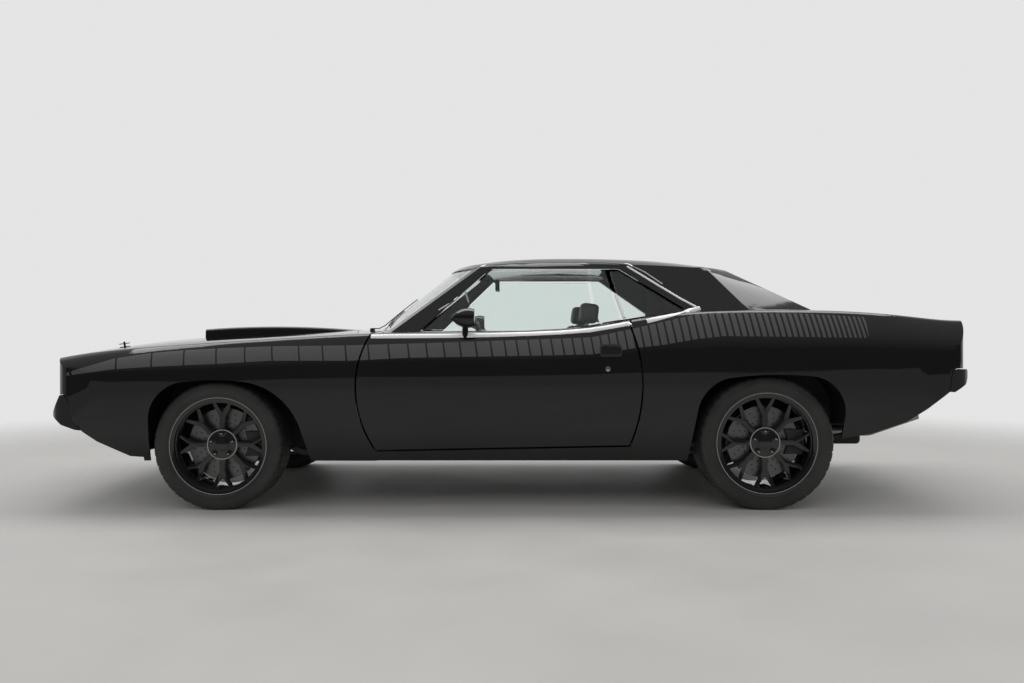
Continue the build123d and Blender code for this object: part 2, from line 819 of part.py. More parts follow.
def scoop_block(inset, rear_x):
    """Raised block of the scoop, tapering towards the screen."""
    middle_x = (scoop_front_x + scoop_rear_x) / 2
    stations = [(scoop_front_x, scoop_half_width, scoop_front_height),
                (middle_x, scoop_half_width, scoop_middle_height),
                (rear_x, scoop_rear_half_width, scoop_rear_height)]
    with BuildPart() as block:
        for x, width, height in stations:
            with BuildSketch(Plane.YZ.offset(x)) as section:
                with BuildLine():
                    Polyline((-width + inset, scoop_foot), (width - inset, scoop_foot),
                             (width - inset - scoop_edge, height - inset),
                             (-width + inset + scoop_edge, height - inset), close=True)
                make_face()
                fillet(section.vertices().sort_by(Axis.Y)[-2:], scoop_edge)
        loft()
    return block.part


with BuildPart() as scoop_mouth:
    add(scoop_block(scoop_roof, scoop_rear_x))
    add_box((scoop_front_x, -half_width, 0),
            (scoop_front_x + scoop_mouth_depth, half_width, overall_height), mode=Mode.INTERSECT)
    add(hull_outer, mode=Mode.SUBTRACT)

with BuildPart() as hood:
    add(hull_outer)
    add(scoop_block(0, scoop_rear_x))
    add(hull_hood_inner, mode=Mode.SUBTRACT)
    with BuildSketch(Plane.XY.offset(hood_lip_height + lid_gap)):
        add(hood_outline(0))
    extrude(amount=overall_height, mode=Mode.INTERSECT)
    add(scoop_mouth.part, mode=Mode.SUBTRACT)
save(hood.part, "hood")

with BuildPart() as deck_lid:
    add(hull_outer)
    add(hull_hood_inner, mode=Mode.SUBTRACT)
    with BuildSketch(Plane.XY.offset(deck_lip_height + lid_gap)):
        add(deck_outline(0))
    extrude(amount=overall_height, mode=Mode.INTERSECT)
save(deck_lid.part, "deck_lid")

# Nose: the tunnel behind the opening, the bars in it and the lamps
surround_depth = 78.0
surround_wall = 10.0
bar_depth = 12.0
bar_root = 18.0
bar_height = 5.0
bar_count = 7
upright_count = 13
lamp_y = 640.0
lamp_radius = 54.0
lamp_depth = 30.0


def nose_ring(outer_inset, inner_inset, low_z, top_z, reach_y):
    """Strip that follows the bow of the nose between two insets."""
    with BuildPart() as ring:
        with BuildSketch(Plane.XY.offset(low_z)):
            add(body_plan(outer_inset))
            add(body_plan(inner_inset), mode=Mode.SUBTRACT)
        extrude(amount=top_z - low_z)
        add_box((nose_x, -reach_y, 0), (front_axle_x, reach_y, overall_height), mode=Mode.INTERSECT)
    return ring.part


with BuildPart() as grille_surround:
    add(nose_ring(panel_thickness, panel_thickness + surround_depth, opening_low_z - surround_wall,
                  opening_top_z, opening_half_width))
    add(nose_ring(0, panel_thickness + surround_depth, opening_low_z,
                  opening_top_z - surround_wall, opening_half_width - surround_wall),
        mode=Mode.SUBTRACT)
    add(front_bumper_space, mode=Mode.SUBTRACT)
save(grille_surround.part, "grille_surround")

grille_inset = panel_thickness + surround_depth / 2
grille_low = opening_low_z
grille_top = opening_top_z - surround_wall
bar_pitch = (grille_top - grille_low) / (bar_count + 1)
grille_reach = opening_half_width - surround_wall
grille_middle_reach = lamp_y - lamp_radius - surround_wall
upright_pitch = 2 * (grille_middle_reach - bar_height) / (upright_count - 1)
lamp_z = (opening_low_z + opening_top_z - surround_wall) / 2
lamp_x = (nose_x + nose_setback + grille_inset + bar_depth + bow_depth(nose_bow_radius, lamp_y)
          - lamp_depth)
with BuildPart() as headlamps:
    for side in (-1, 1):
        with BuildSketch(Plane.YZ.offset(lamp_x)):
            with Locations((side * lamp_y, lamp_z)):
                Circle(lamp_radius)
    extrude(amount=lamp_depth + bar_depth / 2)
save(headlamps.part, "headlamps")

with BuildPart() as grille:
    add(nose_ring(grille_inset + bar_depth, grille_inset + 2 * bar_depth, grille_low, grille_top,
                  grille_reach))
    for number in range(1, bar_count + 1):
        bar_z = grille_low + number * bar_pitch
        add(nose_ring(grille_inset, grille_inset + bar_root, bar_z - bar_height / 2,
                      bar_z + bar_height / 2, grille_middle_reach))
    for number in range(upright_count):
        upright_y = -grille_middle_reach + bar_height + number * upright_pitch
        upright_x = nose_x + nose_setback + grille_inset + bow_depth(nose_bow_radius, abs(upright_y))
        add_box((upright_x - bar_depth / 2, upright_y - bar_height / 2, grille_low + bar_height),
                (upright_x + bar_root, upright_y + bar_height / 2, grille_top - bar_height))
    add(headlamps.part, mode=Mode.SUBTRACT)
save(grille.part, "grille")

save(bumper(front_bumper_shares, nose_x, nose_bow_radius), "front_bumper")
save(bumper(rear_bumper_shares, tail_x, tail_bow_radius), "rear_bumper")

# Tail: recessed panel with the lamps on it
tail_recess = 34.0
tail_panel_low_z = 708.0
lamp_bar_inner_y = 300.0
lamp_bar_outer_y = 750.0
lamp_bar_low_z = 760.0
lamp_bar_top_z = 856.0
lamp_bar_depth = 18.0


def tail_ring(outer_inset, inner_inset, low_z, top_z, inner_y, outer_y):
    """Strip on the left that follows the bow of the tail between two insets."""
    with BuildPart() as ring:
        with BuildSketch(Plane.XY.offset(low_z)):
            add(body_plan(outer_inset))
            add(body_plan(inner_inset), mode=Mode.SUBTRACT)
        extrude(amount=top_z - low_z)
        add_box((rear_axle_x, -outer_y, 0), (tail_x, -inner_y, overall_height), mode=Mode.INTERSECT)
    return ring.part


with BuildPart() as tail_panel:
    add(tail_ring(tail_recess, tail_recess + sheet_thickness, tail_panel_low_z,
                  tail_opening_top_z, -tail_opening_half_width, tail_opening_half_width))
    add(rear_bumper_space, mode=Mode.SUBTRACT)
save(tail_panel.part, "tail_panel")

with BuildPart() as tail_lamps:
    lamp_left = tail_ring(tail_recess - lamp_bar_depth, tail_recess, lamp_bar_low_z, lamp_bar_top_z,
                          lamp_bar_inner_y, lamp_bar_outer_y)
    add(lamp_left)
    add(mirrored(lamp_left))
save(tail_lamps.part, "tail_lamps")

# Lower valances, bent strips between the body sides
def valance(edge_shares, cut_space):
    """Strip that follows a lower edge of the body, from side to side inside the skin."""
    edge = [(along(x), up(z)) for x, z in edge_shares]
    raised = [(x, z + sheet_thickness) for x, z in reversed(edge)]
    with BuildPart() as strip:
        with BuildSketch(Plane.XZ):
            with BuildLine():
                Polyline(*edge, *raised, close=True)
            make_face()
        extrude(amount=half_width, both=True)
        add(hull_inner, mode=Mode.INTERSECT)
        add(cut_space, mode=Mode.SUBTRACT)
    return strip.part


save(valance(front_low_edge_shares[3:6], front_bumper_space), "front_valance")
save(valance(rear_low_edge_shares[3:6], rear_bumper_space), "rear_valance")

# Floor, firewall, tunnel, rear floor and wheelhouses
floor_z = 304.0
floor_half_width = 758.0
firewall_x = hood_rear_x + 8.0
firewall_top_z = 862.0
tunnel_half_width = 130.0
tunnel_top_z = 440.0
step_x = rear_axle_x - 350.0
rear_floor_z = 530.0
trunk_front_x = rear_axle_x + 340.0
trunk_floor_z = 400.0
trunk_rear_x = tail_x - 400.0
wheelhouse_inner_y = 596.0
wheelhouse_grow = 26.0
apron_y = 470.0
apron_grow = 62.0
apron_low_z = 330.0


def wheelhouse(arch_name, inner_y, grow, low_z):
    """Left wheelhouse: an arched sheet closed by an upright inner wall."""
    axle_x, radius, shares, top_share = arch_name
    outer = arch_outline(axle_x, radius, shares, top_share, grow + sheet_thickness)
    inner = arch_outline(axle_x, radius, shares, top_share, grow)
    with BuildPart() as house:
        extrude(outer.moved(Location((0, -inner_y + sheet_thickness, 0))), amount=half_width)
        extrude(inner.moved(Location((0, -inner_y, 0))), amount=half_width, mode=Mode.SUBTRACT)
        add(hull_inner, mode=Mode.INTERSECT)
        add_box((nose_x, -half_width, low_z), (tail_x, 0, overall_height), mode=Mode.INTERSECT)
    return house.part


rear_arch_values = (rear_axle_x, rear_tyre_radius, rear_arch_shares, rear_arch_top_share)
front_arch_values = (front_axle_x, front_tyre_radius, front_arch_shares, front_arch_top_share)
rear_house_low_z = 430.0
rear_house = wheelhouse(rear_arch_values, wheelhouse_inner_y, wheelhouse_grow, rear_house_low_z)

with BuildPart() as floor_pan:
    add_box((firewall_x, -floor_half_width, floor_z),
            (step_x, floor_half_width, floor_z + sheet_thickness))
    add_box((firewall_x, -floor_half_width, floor_z),
            (firewall_x + sheet_thickness, floor_half_width, firewall_top_z))
    add_box((step_x, -wheelhouse_inner_y, floor_z),
            (step_x + sheet_thickness, wheelhouse_inner_y, rear_floor_z))
    add_box((step_x, -wheelhouse_inner_y, rear_floor_z - sheet_thickness),
            (trunk_front_x, wheelhouse_inner_y, rear_floor_z))
    add_box((trunk_front_x, -wheelhouse_inner_y, trunk_floor_z),
            (trunk_front_x + sheet_thickness, wheelhouse_inner_y, rear_floor_z))
    add_box((trunk_front_x, -wheelhouse_inner_y, trunk_floor_z),
            (trunk_rear_x, wheelhouse_inner_y, trunk_floor_z + sheet_thickness))
    add_box((firewall_x, -tunnel_half_width, floor_z),
            (step_x + sheet_thickness, tunnel_half_width, tunnel_top_z))
    add_box((firewall_x, -tunnel_half_width + sheet_thickness, floor_z),
            (step_x + sheet_thickness, tunnel_half_width - sheet_thickness,
             tunnel_top_z - sheet_thickness), mode=Mode.SUBTRACT)
    add(rear_house)
    add(mirrored(rear_house))
save(floor_pan.part, "floor_pan")

# Front frame: rails, crossmember, radiator support and inner fenders
rail_inner_y = 365.0
rail_outer_y = 440.0
rail_low_z = 262.0
rail_top_z = 334.0
rail_front_x = nose_x + 482.0
support_x = rail_front_x
support_half_width = 680.0
support_top_z = 700.0
crossmember_low_z = 196.0
crossmember_half_length = 70.0
inner_fender = wheelhouse(front_arch_values, apron_y, apron_grow, apron_low_z)

with BuildPart() as front_frame:
    for side in (-1, 1):
        near, far = sorted((side * rail_inner_y, side * rail_outer_y))
        add_box((rail_front_x, near, rail_low_z), (firewall_x, far, rail_top_z))
    add_box((front_axle_x - crossmember_half_length, -rail_outer_y, crossmember_low_z),
            (front_axle_x + crossmember_half_length, rail_outer_y, rail_low_z))
    add_box((support_x, -support_half_width, rail_top_z),
            (support_x + sheet_thickness, support_half_width, support_top_z))
save(front_frame.part, "front_frame")

with BuildPart() as inner_fenders:
    add(inner_fender)
    add(mirrored(inner_fender))
    add(front_frame.part, mode=Mode.SUBTRACT)
save(inner_fenders.part, "inner_fenders")

# Wheels: every wheel is drawn at the origin facing -Y and moved to its hub.
# Columns: name, axle x, tyre radius, tyre width, rim radius, dish
wheel_table = [
    ("front", front_axle_x, front_tyre_radius, front_tyre_width, front_rim_radius, front_dish),
    ("rear", rear_axle_x, rear_tyre_radius, rear_tyre_width, rear_rim_radius, rear_dish),
]
flange_drop = 22.0
flange_width = 9.0
step_drop = 14.0
step_width = 24.0
tyre_shoulder_width = 26.0
tyre_shoulder_drop = 12.0
tyre_bead_width = 16.0
tyre_bead_rise = 16.0
hub_depth = 34.0
spoke_stem_width = 26.0
spoke_prong_width = 15.0
spoke_fork_share = 0.42
spoke_rim_bite = 3.0
cap_height = 8.0
lug_height = 12.0


def barrel_radius(rim_radius):
    """Outside of the rim barrel, under the tyre."""
    return rim_radius - flange_drop


def tyre(radius, width, rim_radius):
    """Tyre ring round the Y axis, its outer face bulging past the rim at y = 0."""
    bead = barrel_radius(rim_radius)
    near = -tyre_bulge
    far = near + width
    middle_r = (radius + rim_radius) / 2
    with BuildPart() as ring:
        with BuildSketch(Plane.YX):
            with BuildLine():
                Line((flange_width, bead), (flange_width, rim_radius))
                Line((flange_width, rim_radius), (near + tyre_bulge, rim_radius))
                ThreePointArc((near + tyre_bulge, rim_radius), (near, middle_r),
                              (near + tyre_shoulder_width / 2, radius - tyre_shoulder_drop))
                ThreePointArc((near + tyre_shoulder_width / 2, radius - tyre_shoulder_drop),
                              (near + tyre_shoulder_width * 0.72, radius - tyre_shoulder_drop * 0.32),
                              (near + 2 * tyre_shoulder_width, radius))
                Line((near + 2 * tyre_shoulder_width, radius), (far - 2 * tyre_shoulder_width, radius))
                ThreePointArc((far - 2 * tyre_shoulder_width, radius),
                              (far - tyre_shoulder_width * 0.72, radius - tyre_shoulder_drop * 0.32),
                              (far - tyre_shoulder_width / 2, radius - tyre_shoulder_drop))
                ThreePointArc((far - tyre_shoulder_width / 2, radius - tyre_shoulder_drop),
                              (far, middle_r), (far - tyre_bulge, rim_radius))
                Line((far - tyre_bulge, rim_radius), (far - tyre_bulge - flange_width, rim_radius))
                Line((far - tyre_bulge - flange_width, rim_radius),
                     (far - tyre_bulge - flange_width, bead))
                Line((far - tyre_bulge - flange_width, bead), (flange_width, bead))
            make_face()
        revolve(axis=Axis.Y)
    return ring.part


def spoke_outline(rim_radius):
    """One forked spoke, pointing up, from the hub to the rim barrel."""
    end = barrel_radius(rim_radius) - rim_wall + spoke_rim_bite
    fork = hub_radius + (end - hub_radius) * spoke_fork_share
    half_pitch = math.pi / spoke_count / 2
    tip = (end * math.sin(half_pitch), end * math.cos(half_pitch))
    across = (spoke_prong_width / 2 * math.cos(half_pitch), spoke_prong_width / 2 * math.sin(half_pitch))
    stem = spoke_stem_width / 2
    with BuildSketch() as spoke:
        with BuildLine():
            Polyline((-stem, hub_radius / 2), (stem, hub_radius / 2), (stem, fork),
                     (tip[0] + across[0], tip[1] - across[1]), (tip[0] - across[0], tip[1] + across[1]),
                     (0, fork + spoke_stem_width),
                     (-tip[0] + across[0], tip[1] + across[1]), (-tip[0] - across[0], tip[1] - across[1]),
                     (-stem, fork), close=True)
        make_face()
    return spoke.sketch


def wheel(width, rim_radius, dish):
    """Deep-dish wheel round the Y axis, its outer lip at y = 0 and facing -Y."""
    barrel = barrel_radius(rim_radius)
    inner = barrel - rim_wall
    depth = width - 2 * tyre_bulge
    with BuildPart() as rim:
        with BuildSketch(Plane.YX):
            with BuildLine():
                Polyline((0, rim_radius), (flange_width, rim_radius), (flange_width, barrel),
                         (depth - flange_width, barrel), (depth - flange_width, rim_radius),
                         (depth, rim_radius), (depth, inner), (step_width, inner),
                         (step_width, inner + rim_wall / 2),
                         (flange_width / 2, barrel - rim_wall / 3),
                         (0, rim_radius - step_drop / 2), close=True)
            make_face()
        revolve(axis=Axis.Y)
        with BuildSketch(Plane.XZ.offset(-dish)):
            Circle(hub_radius)
            with PolarLocations(0, spoke_count):
                add(spoke_outline(rim_radius))
        extrude(amount=-spoke_depth)
        with BuildSketch(Plane.XZ.offset(-dish - spoke_depth)):
            Circle(hub_radius)
        extrude(amount=-(hub_depth - spoke_depth))
        with BuildSketch(Plane.XZ.offset(-dish)):
            Circle(cap_radius)
        extrude(amount=cap_height)
        with BuildSketch(Plane.XZ.offset(-dish)):
            with PolarLocations(lug_circle / 2, lug_count, start_angle=90):
                Circle(lug_radius)
        extrude(amount=lug_height)
    return rim.part


# Brake disc and hub behind each wheel, bored for the spindle
spindle_radius = 20.0
spindle_gap = 0.3
spindle_end_wall = 8.0
disc_hub_radius = 70.0
disc_slot_gap = 5.0


def disc_place(dish):
    """Depth of the disc hub's outer face behind the wheel's lip."""
    return dish + hub_depth


disc_setback = 16.0


def brake_disc(dish):
    """Ventilated disc with its hub round the Y axis, behind the wheel."""
    face = disc_place(dish)
    with BuildPart() as disc:
        with BuildSketch(Plane.XZ.offset(-face)):
            Circle(disc_hub_radius)
        extrude(amount=-(disc_setback + disc_thickness))
        with BuildSketch(Plane.XZ.offset(-face - disc_setback)):
            Circle(disc_radius)
        extrude(amount=-disc_thickness)
        with BuildSketch(Plane.XZ.offset(-face - spindle_end_wall)):
            Circle(spindle_radius + spindle_gap)
        extrude(amount=-hub_depth * 3, mode=Mode.SUBTRACT)
    return disc.part


def on_left(solid, axle_x, axle_z):
    """A wheel piece moved to the left end of an axle."""
    with BuildPart() as placed:
        add(solid.moved(Location((axle_x, -wheel_face_y, axle_z))))
    return placed.part


for axle, axle_x, radius, width, rim_radius, dish in wheel_table:
    pieces = {
        "tyre": on_left(tyre(radius, width, rim_radius), axle_x, radius),
        "wheel": on_left(wheel(width, rim_radius, dish), axle_x, radius),
        "brake_disc": on_left(brake_disc(dish), axle_x, radius),
    }
    for kind, solid in pieces.items():
        save(solid, f"{kind}_{axle}_left")
        save(mirrored(solid), f"{kind}_{axle}_right")

# Knuckle: upright on the kingpin line, spindle, caliper bracket and caliper
kingpin_radius = 22.0
kingpin_half_height = 96.0
caliper_inner_radius = 122.0
caliper_outer_radius = 205.0
caliper_half_height = 62.0
caliper_side = 14.0
bracket_half_height = 30.0
bracket_depth = 16.0


def caliper(dish, bracket_y):
    """Caliper round the rear edge of a left disc, with a bracket in to the carrier's face."""
    disc_face = wheel_face_y - disc_place(dish) - disc_setback
    disc_back = disc_face - disc_thickness
    with BuildPart() as clamp:
        with BuildSketch(Plane.XZ.offset(disc_face + disc_slot_gap + caliper_side)):
            Circle(caliper_outer_radius)
            Circle(caliper_inner_radius, mode=Mode.SUBTRACT)
            with Locations((-caliper_outer_radius, 0)):
                Rectangle(2 * caliper_outer_radius, 2 * caliper_outer_radius, mode=Mode.SUBTRACT)
            with Locations((0, caliper_half_height + caliper_outer_radius),
                           (0, -caliper_half_height - caliper_outer_radius)):
                Rectangle(2 * caliper_outer_radius, 2 * caliper_outer_radius, mode=Mode.SUBTRACT)
        extrude(amount=-(disc_thickness + 2 * (disc_slot_gap + caliper_side)))
        with BuildSketch(Plane.XZ.offset(disc_face + disc_slot_gap)):
            Circle(disc_radius + disc_slot_gap)
        extrude(amount=-(disc_thickness + 2 * disc_slot_gap), mode=Mode.SUBTRACT)
        back = disc_back - disc_slot_gap
        add_box((0, -back, -bracket_half_height),
                (caliper_inner_radius + caliper_side, -back + bracket_depth, bracket_half_height))
        add_box((-kingpin_radius, -back, -kingpin_radius),
                (kingpin_radius, -bracket_y, kingpin_radius))
    return clamp.part


def spindle(dish, from_y):
    """Spindle from the carrier out into the bored hub."""
    end = wheel_face_y - disc_place(dish) - spindle_end_wall - spindle_gap
    with BuildPart() as pin:
        with BuildSketch(Plane.XZ.offset(from_y)):
            Circle(spindle_radius)
        extrude(amount=end - from_y)
    return pin.part


with BuildPart() as knuckle_left:
    with Locations((0, -kingpin_y, 0)):
        Cylinder(kingpin_radius, 2 * kingpin_half_height)
    add(spindle(front_dish, kingpin_y))
    add(caliper(front_dish, kingpin_y))
knuckle = knuckle_left.part.moved(Location((front_axle_x, 0, front_tyre_radius)))
save(knuckle, "knuckle_left")
save(mirrored(knuckle), "knuckle_right")

# Front suspension: lower and upper arms out to the kingpins
arm_half_thickness = 14.0
arm_half_width = 26.0
arm_root_half_length = 110.0
ball_gap = 0.3


def control_arm(root_y, low):
    """Left A-arm, flat, from its root to the kingpin."""
    if low:
        z = front_tyre_radius - kingpin_half_height - ball_gap - 2 * arm_half_thickness
    else:
        z = front_tyre_radius + kingpin_half_height + ball_gap
    with BuildPart() as arm:
        with BuildSketch(Plane.XY.offset(z)):
            for side in (-1, 1):
                root = front_axle_x + side * arm_root_half_length
                with BuildLine():
                    Polyline((root - arm_half_width / 2, -root_y), (root + arm_half_width / 2, -root_y),
                             (front_axle_x + arm_half_width, -kingpin_y),
                             (front_axle_x - arm_half_width, -kingpin_y), close=True)
                make_face()
            with Locations((front_axle_x, -kingpin_y)):
                Circle(arm_half_width)
        extrude(amount=2 * arm_half_thickness)
    return arm.part


with BuildPart() as front_suspension:
    for arm in (control_arm(rail_outer_y, True), control_arm(apron_y + sheet_thickness, False)):
        add(arm)
        add(mirrored(arm))
save(front_suspension.part, "front_suspension")

# Rear axle with its leaf springs, drive shaft and rear calipers
axle_tube_radius = 38.0
axle_end_y = 690.0
differential_radius = 132.0
spring_y = 545.0
spring_half_width = 26.0
spring_thickness = 20.0
spring_front_length = 560.0
spring_rear_length = 600.0
spring_eye_height = 284.0
spring_rear_eye_height = 360.0
shaft_radius = 36.0
shaft_front_x = front_axle_x + 1180.0
shaft_height = 352.0

with BuildPart() as rear_axle:
    with BuildSketch(Plane.XZ):
        with Locations((rear_axle_x, rear_tyre_radius)):
            Circle(axle_tube_radius)
    extrude(amount=axle_end_y, both=True)
    with Locations((rear_axle_x, 0, rear_tyre_radius)):
        Sphere(differential_radius)
    for side_part in (spindle(rear_dish, axle_end_y), caliper(rear_dish, axle_end_y)):
        hub = side_part.moved(Location((rear_axle_x, 0, rear_tyre_radius)))
        add(hub)
        add(mirrored(hub))
    with BuildSketch(Plane.YZ.offset(shaft_front_x)):
        with Locations((0, shaft_height)):
            Circle(shaft_radius)
    extrude(amount=rear_axle_x - shaft_front_x)
    spring_low_z = rear_tyre_radius - axle_tube_radius - spring_thickness
    for side in (-1, 1):
        with BuildSketch(Plane.XZ.offset(-side * spring_y + spring_half_width)):
            with BuildLine():
                ThreePointArc((rear_axle_x - spring_front_length, spring_eye_height),
                              (rear_axle_x, spring_low_z - spring_thickness),
                              (rear_axle_x + spring_rear_length, spring_rear_eye_height))
                Line((rear_axle_x + spring_rear_length, spring_rear_eye_height),
                     (rear_axle_x + spring_rear_length, spring_rear_eye_height + spring_thickness))
                ThreePointArc((rear_axle_x + spring_rear_length,
                               spring_rear_eye_height + spring_thickness),
                              (rear_axle_x, spring_low_z),
                              (rear_axle_x - spring_front_length, spring_eye_height + spring_thickness))
                Line((rear_axle_x - spring_front_length, spring_eye_height + spring_thickness),
                     (rear_axle_x - spring_front_length, spring_eye_height))
            make_face()
        extrude(amount=-2 * spring_half_width)
        add_box((rear_axle_x - axle_tube_radius, side * spring_y - spring_half_width,
                 spring_low_z - spring_thickness / 2),
                (rear_axle_x + axle_tube_radius, side * spring_y + spring_half_width,
                 rear_tyre_radius))
save(rear_axle.part, "rear_axle")

# Engine and gearbox, closed in, as one plain block
engine_front_x = front_axle_x - 250.0
engine_rear_x = firewall_x - 20.0
engine_half_width = 270.0
engine_low_z = 268.0
engine_top_z = 780.0
gearbox_half_width = 105.0
gearbox_low_z = 250.0
gearbox_top_z = 415.0

with BuildPart() as engine:
    add_box((engine_front_x, -engine_half_width, engine_low_z),
            (engine_rear_x, engine_half_width, engine_top_z))
    add_box((engine_rear_x, -gearbox_half_width, gearbox_low_z),
            (shaft_front_x, gearbox_half_width, gearbox_top_z))
save(engine.part, "engine")

# Exhaust on both sides: down from the engine, oval muffler, and a pipe over the axle
pipe_radius = 28.0
pipe_bend = 90.0
muffler_front_x = -20.0
muffler_length = 400.0
muffler_half_width = 110.0
muffler_half_height = 34.0
exhaust_y = 400.0
exhaust_z = 232.0
engine_pipe_y = 300.0
engine_pipe_z = 400.0
over_axle_z = 442.0
tail_pipe_z = 350.0
tip_x = tail_x - 135.0
tip_z = 440.0


def pipe(path_points):
    """Round pipe along straight runs joined by arcs."""
    with BuildPart() as run:
        with BuildLine():
            path = FilletPolyline(*path_points, radius=pipe_bend)
        with BuildSketch(Plane(origin=path @ 0, z_dir=path % 0)):
            Circle(pipe_radius)
        sweep()
    return run.part


with BuildPart() as exhaust_left:
    add(pipe([(engine_front_x + engine_half_width, -engine_pipe_y, engine_pipe_z),
              (engine_front_x + 2 * engine_half_width, -engine_pipe_y, exhaust_z),
              (firewall_x + engine_half_width, -exhaust_y, exhaust_z),
              (muffler_front_x + pipe_radius, -exhaust_y, exhaust_z)]))
    with BuildSketch(Plane.YZ.offset(muffler_front_x)):
        with Locations((-exhaust_y, exhaust_z)):
            Ellipse(muffler_half_width, muffler_half_height)
    extrude(amount=muffler_length)
    add(pipe([(muffler_front_x + muffler_length - pipe_radius, -exhaust_y, exhaust_z),
              (step_x + pipe_radius, -exhaust_y, exhaust_z),
              (rear_axle_x - pipe_bend, -exhaust_y, over_axle_z),
              (rear_axle_x + pipe_bend, -exhaust_y, over_axle_z),
              (trunk_front_x - pipe_bend, -exhaust_y, tail_pipe_z),
              (trunk_rear_x, -exhaust_y, tail_pipe_z),
              (tip_x, -exhaust_y, tip_z)]))
with BuildPart() as exhaust:
    add(exhaust_left.part)
    add(mirrored(exhaust_left.part))
save(exhaust.part, "exhaust")

# Fuel tank under the trunk floor
tank_front_x = rear_axle_x + 350.0
tank_rear_x = tank_front_x + 320.0
tank_half_width = 330.0
tank_low_z = 268.0
tank_edge = 24.0
with BuildPart() as fuel_tank:
    add_box((tank_front_x, -tank_half_width, tank_low_z),
            (tank_rear_x, tank_half_width, trunk_floor_z))
    fillet(fuel_tank.edges().filter_by(Axis.Z), tank_edge)
    fillet(fuel_tank.edges().group_by(Axis.Z)[0], tank_edge)
save(fuel_tank.part, "fuel_tank")

# Cabin: dashboard, steering wheel and column, seats and console
dash_front_x = firewall_x + sheet_thickness
dash_rear_x = dash_front_x + 330.0
dash_half_width = 752.0
dash_low_z = 600.0
dash_top_z = 858.0
dash_edge = 50.0
driver_y = -370.0
with BuildPart() as dashboard:
    with BuildSketch(Plane.XZ):
        with BuildLine():
            Polyline((dash_front_x, dash_low_z), (dash_front_x, dash_top_z),
                     (dash_rear_x, dash_top_z), (dash_rear_x - dash_edge, dash_low_z), close=True)
        make_face()
        fillet(vertices().sort_by(Axis.X)[-1], dash_edge)
    extrude(amount=dash_half_width, both=True)
save(dashboard.part, "dashboard")

wheel_tilt = 25.0
wheel_centre_x = dash_rear_x + 340.0
wheel_centre_z = 795.0
wheel_ring_radius = 178.0
wheel_grip_radius = 13.0
column_radius = 22.0
column_length = 355.0
boss_radius = 42.0
boss_height = 30.0
steering_spoke_count = 3
steering_plane = Plane(origin=(wheel_centre_x, driver_y, wheel_centre_z), x_dir=(0, 1, 0),
                       z_dir=(math.cos(math.radians(wheel_tilt)), 0,
                              math.sin(math.radians(wheel_tilt))))
with BuildPart() as steering_wheel:
    with Locations(steering_plane):
        Torus(wheel_ring_radius, wheel_grip_radius)
        with Locations((0, 0, -boss_height / 2)):
            Cylinder(boss_radius, boss_height)
    with BuildSketch(steering_plane.offset(-wheel_grip_radius)):
        with PolarLocations(0, steering_spoke_count, start_angle=90):
            with Locations((wheel_ring_radius / 2, 0)):
                Rectangle(wheel_ring_radius, boss_height)
    extrude(amount=wheel_grip_radius)
    with BuildSketch(steering_plane.offset(-boss_height)):
        Circle(column_radius)
    extrude(amount=-column_length)
    add(dashboard.part, mode=Mode.SUBTRACT)
save(steering_wheel.part, "steering_wheel")

# Seats from their side outlines: places in shares of the seat's length and height
seat_length = 640.0
seat_height = 740.0
seat_half_width = 232.0
seat_front_x = wheel_centre_x - 45.0
seat_side_shares = [(0.00, 0.06), (0.02, 0.30), (0.66, 0.22), (0.84, 0.74), (0.87, 1.00),
                    (0.98, 1.00), (1.00, 0.74), (0.82, 0.04), (0.80, 0.0), (0.05, 0.0)]
seat_edge = 26.0
with BuildPart() as front_seat:
    with BuildSketch(Plane.XZ.offset(-driver_y - seat_half_width)):
        with BuildLine():
            Polyline(*[(seat_front_x + x * seat_length, floor_z + sheet_thickness + z * seat_height)
                       for x, z in seat_side_shares], close=True)
        make_face()
        fillet(vertices(), seat_edge / 2)
    extrude(amount=2 * seat_half_width)
    neck_z = floor_z + sheet_thickness + 0.80 * seat_height
    for side in (-1, 1):
        middle = driver_y + side * seat_half_width
        low, high = sorted((middle, middle - side * seat_half_width / 2))
        add_box((seat_front_x, low, neck_z), (seat_front_x + seat_length, high, overall_height),
                mode=Mode.SUBTRACT)
with BuildPart() as front_seats:
    add(front_seat.part)
    add(mirrored(front_seat.part))
save(front_seats.part, "front_seats")

bench_half_width = 560.0
bench_front_x = step_x - 330.0
bench_shares = [(0.0, 0.0), (0.0, 0.46), (0.70, 0.40), (0.86, 1.0), (0.98, 1.0), (0.98, 0.0)]
bench_length = 325.0
bench_height = 560.0
with BuildPart() as rear_seat:
    with BuildSketch(Plane.XZ):
        with BuildLine():
            Polyline(*[(bench_front_x + x * bench_length, floor_z + sheet_thickness + z * bench_height)
                       for x, z in bench_shares], close=True)
        make_face()
    extrude(amount=bench_half_width, both=True)
    add_box((firewall_x, -tunnel_half_width, 0), (step_x, tunnel_half_width, tunnel_top_z),
            mode=Mode.SUBTRACT)
save(rear_seat.part, "rear_seat")

console_front_x = dash_rear_x + 60.0
console_length = 620.0
console_half_width = 105.0
console_height = 70.0
shifter_radius = 9.0
shifter_height = 190.0
knob_radius = 24.0
with BuildPart() as console:
    add_box((console_front_x, -console_half_width, tunnel_top_z),
            (console_front_x + console_length, console_half_width, tunnel_top_z + console_height))
    with Locations((console_front_x + console_length / 3, 0,
                    tunnel_top_z + console_height + shifter_height / 2)):
        Cylinder(shifter_radius, shifter_height)
    with Locations((console_front_x + console_length / 3, 0,
                    tunnel_top_z + console_height + shifter_height)):
        Sphere(knob_radius)
save(console.part, "console")

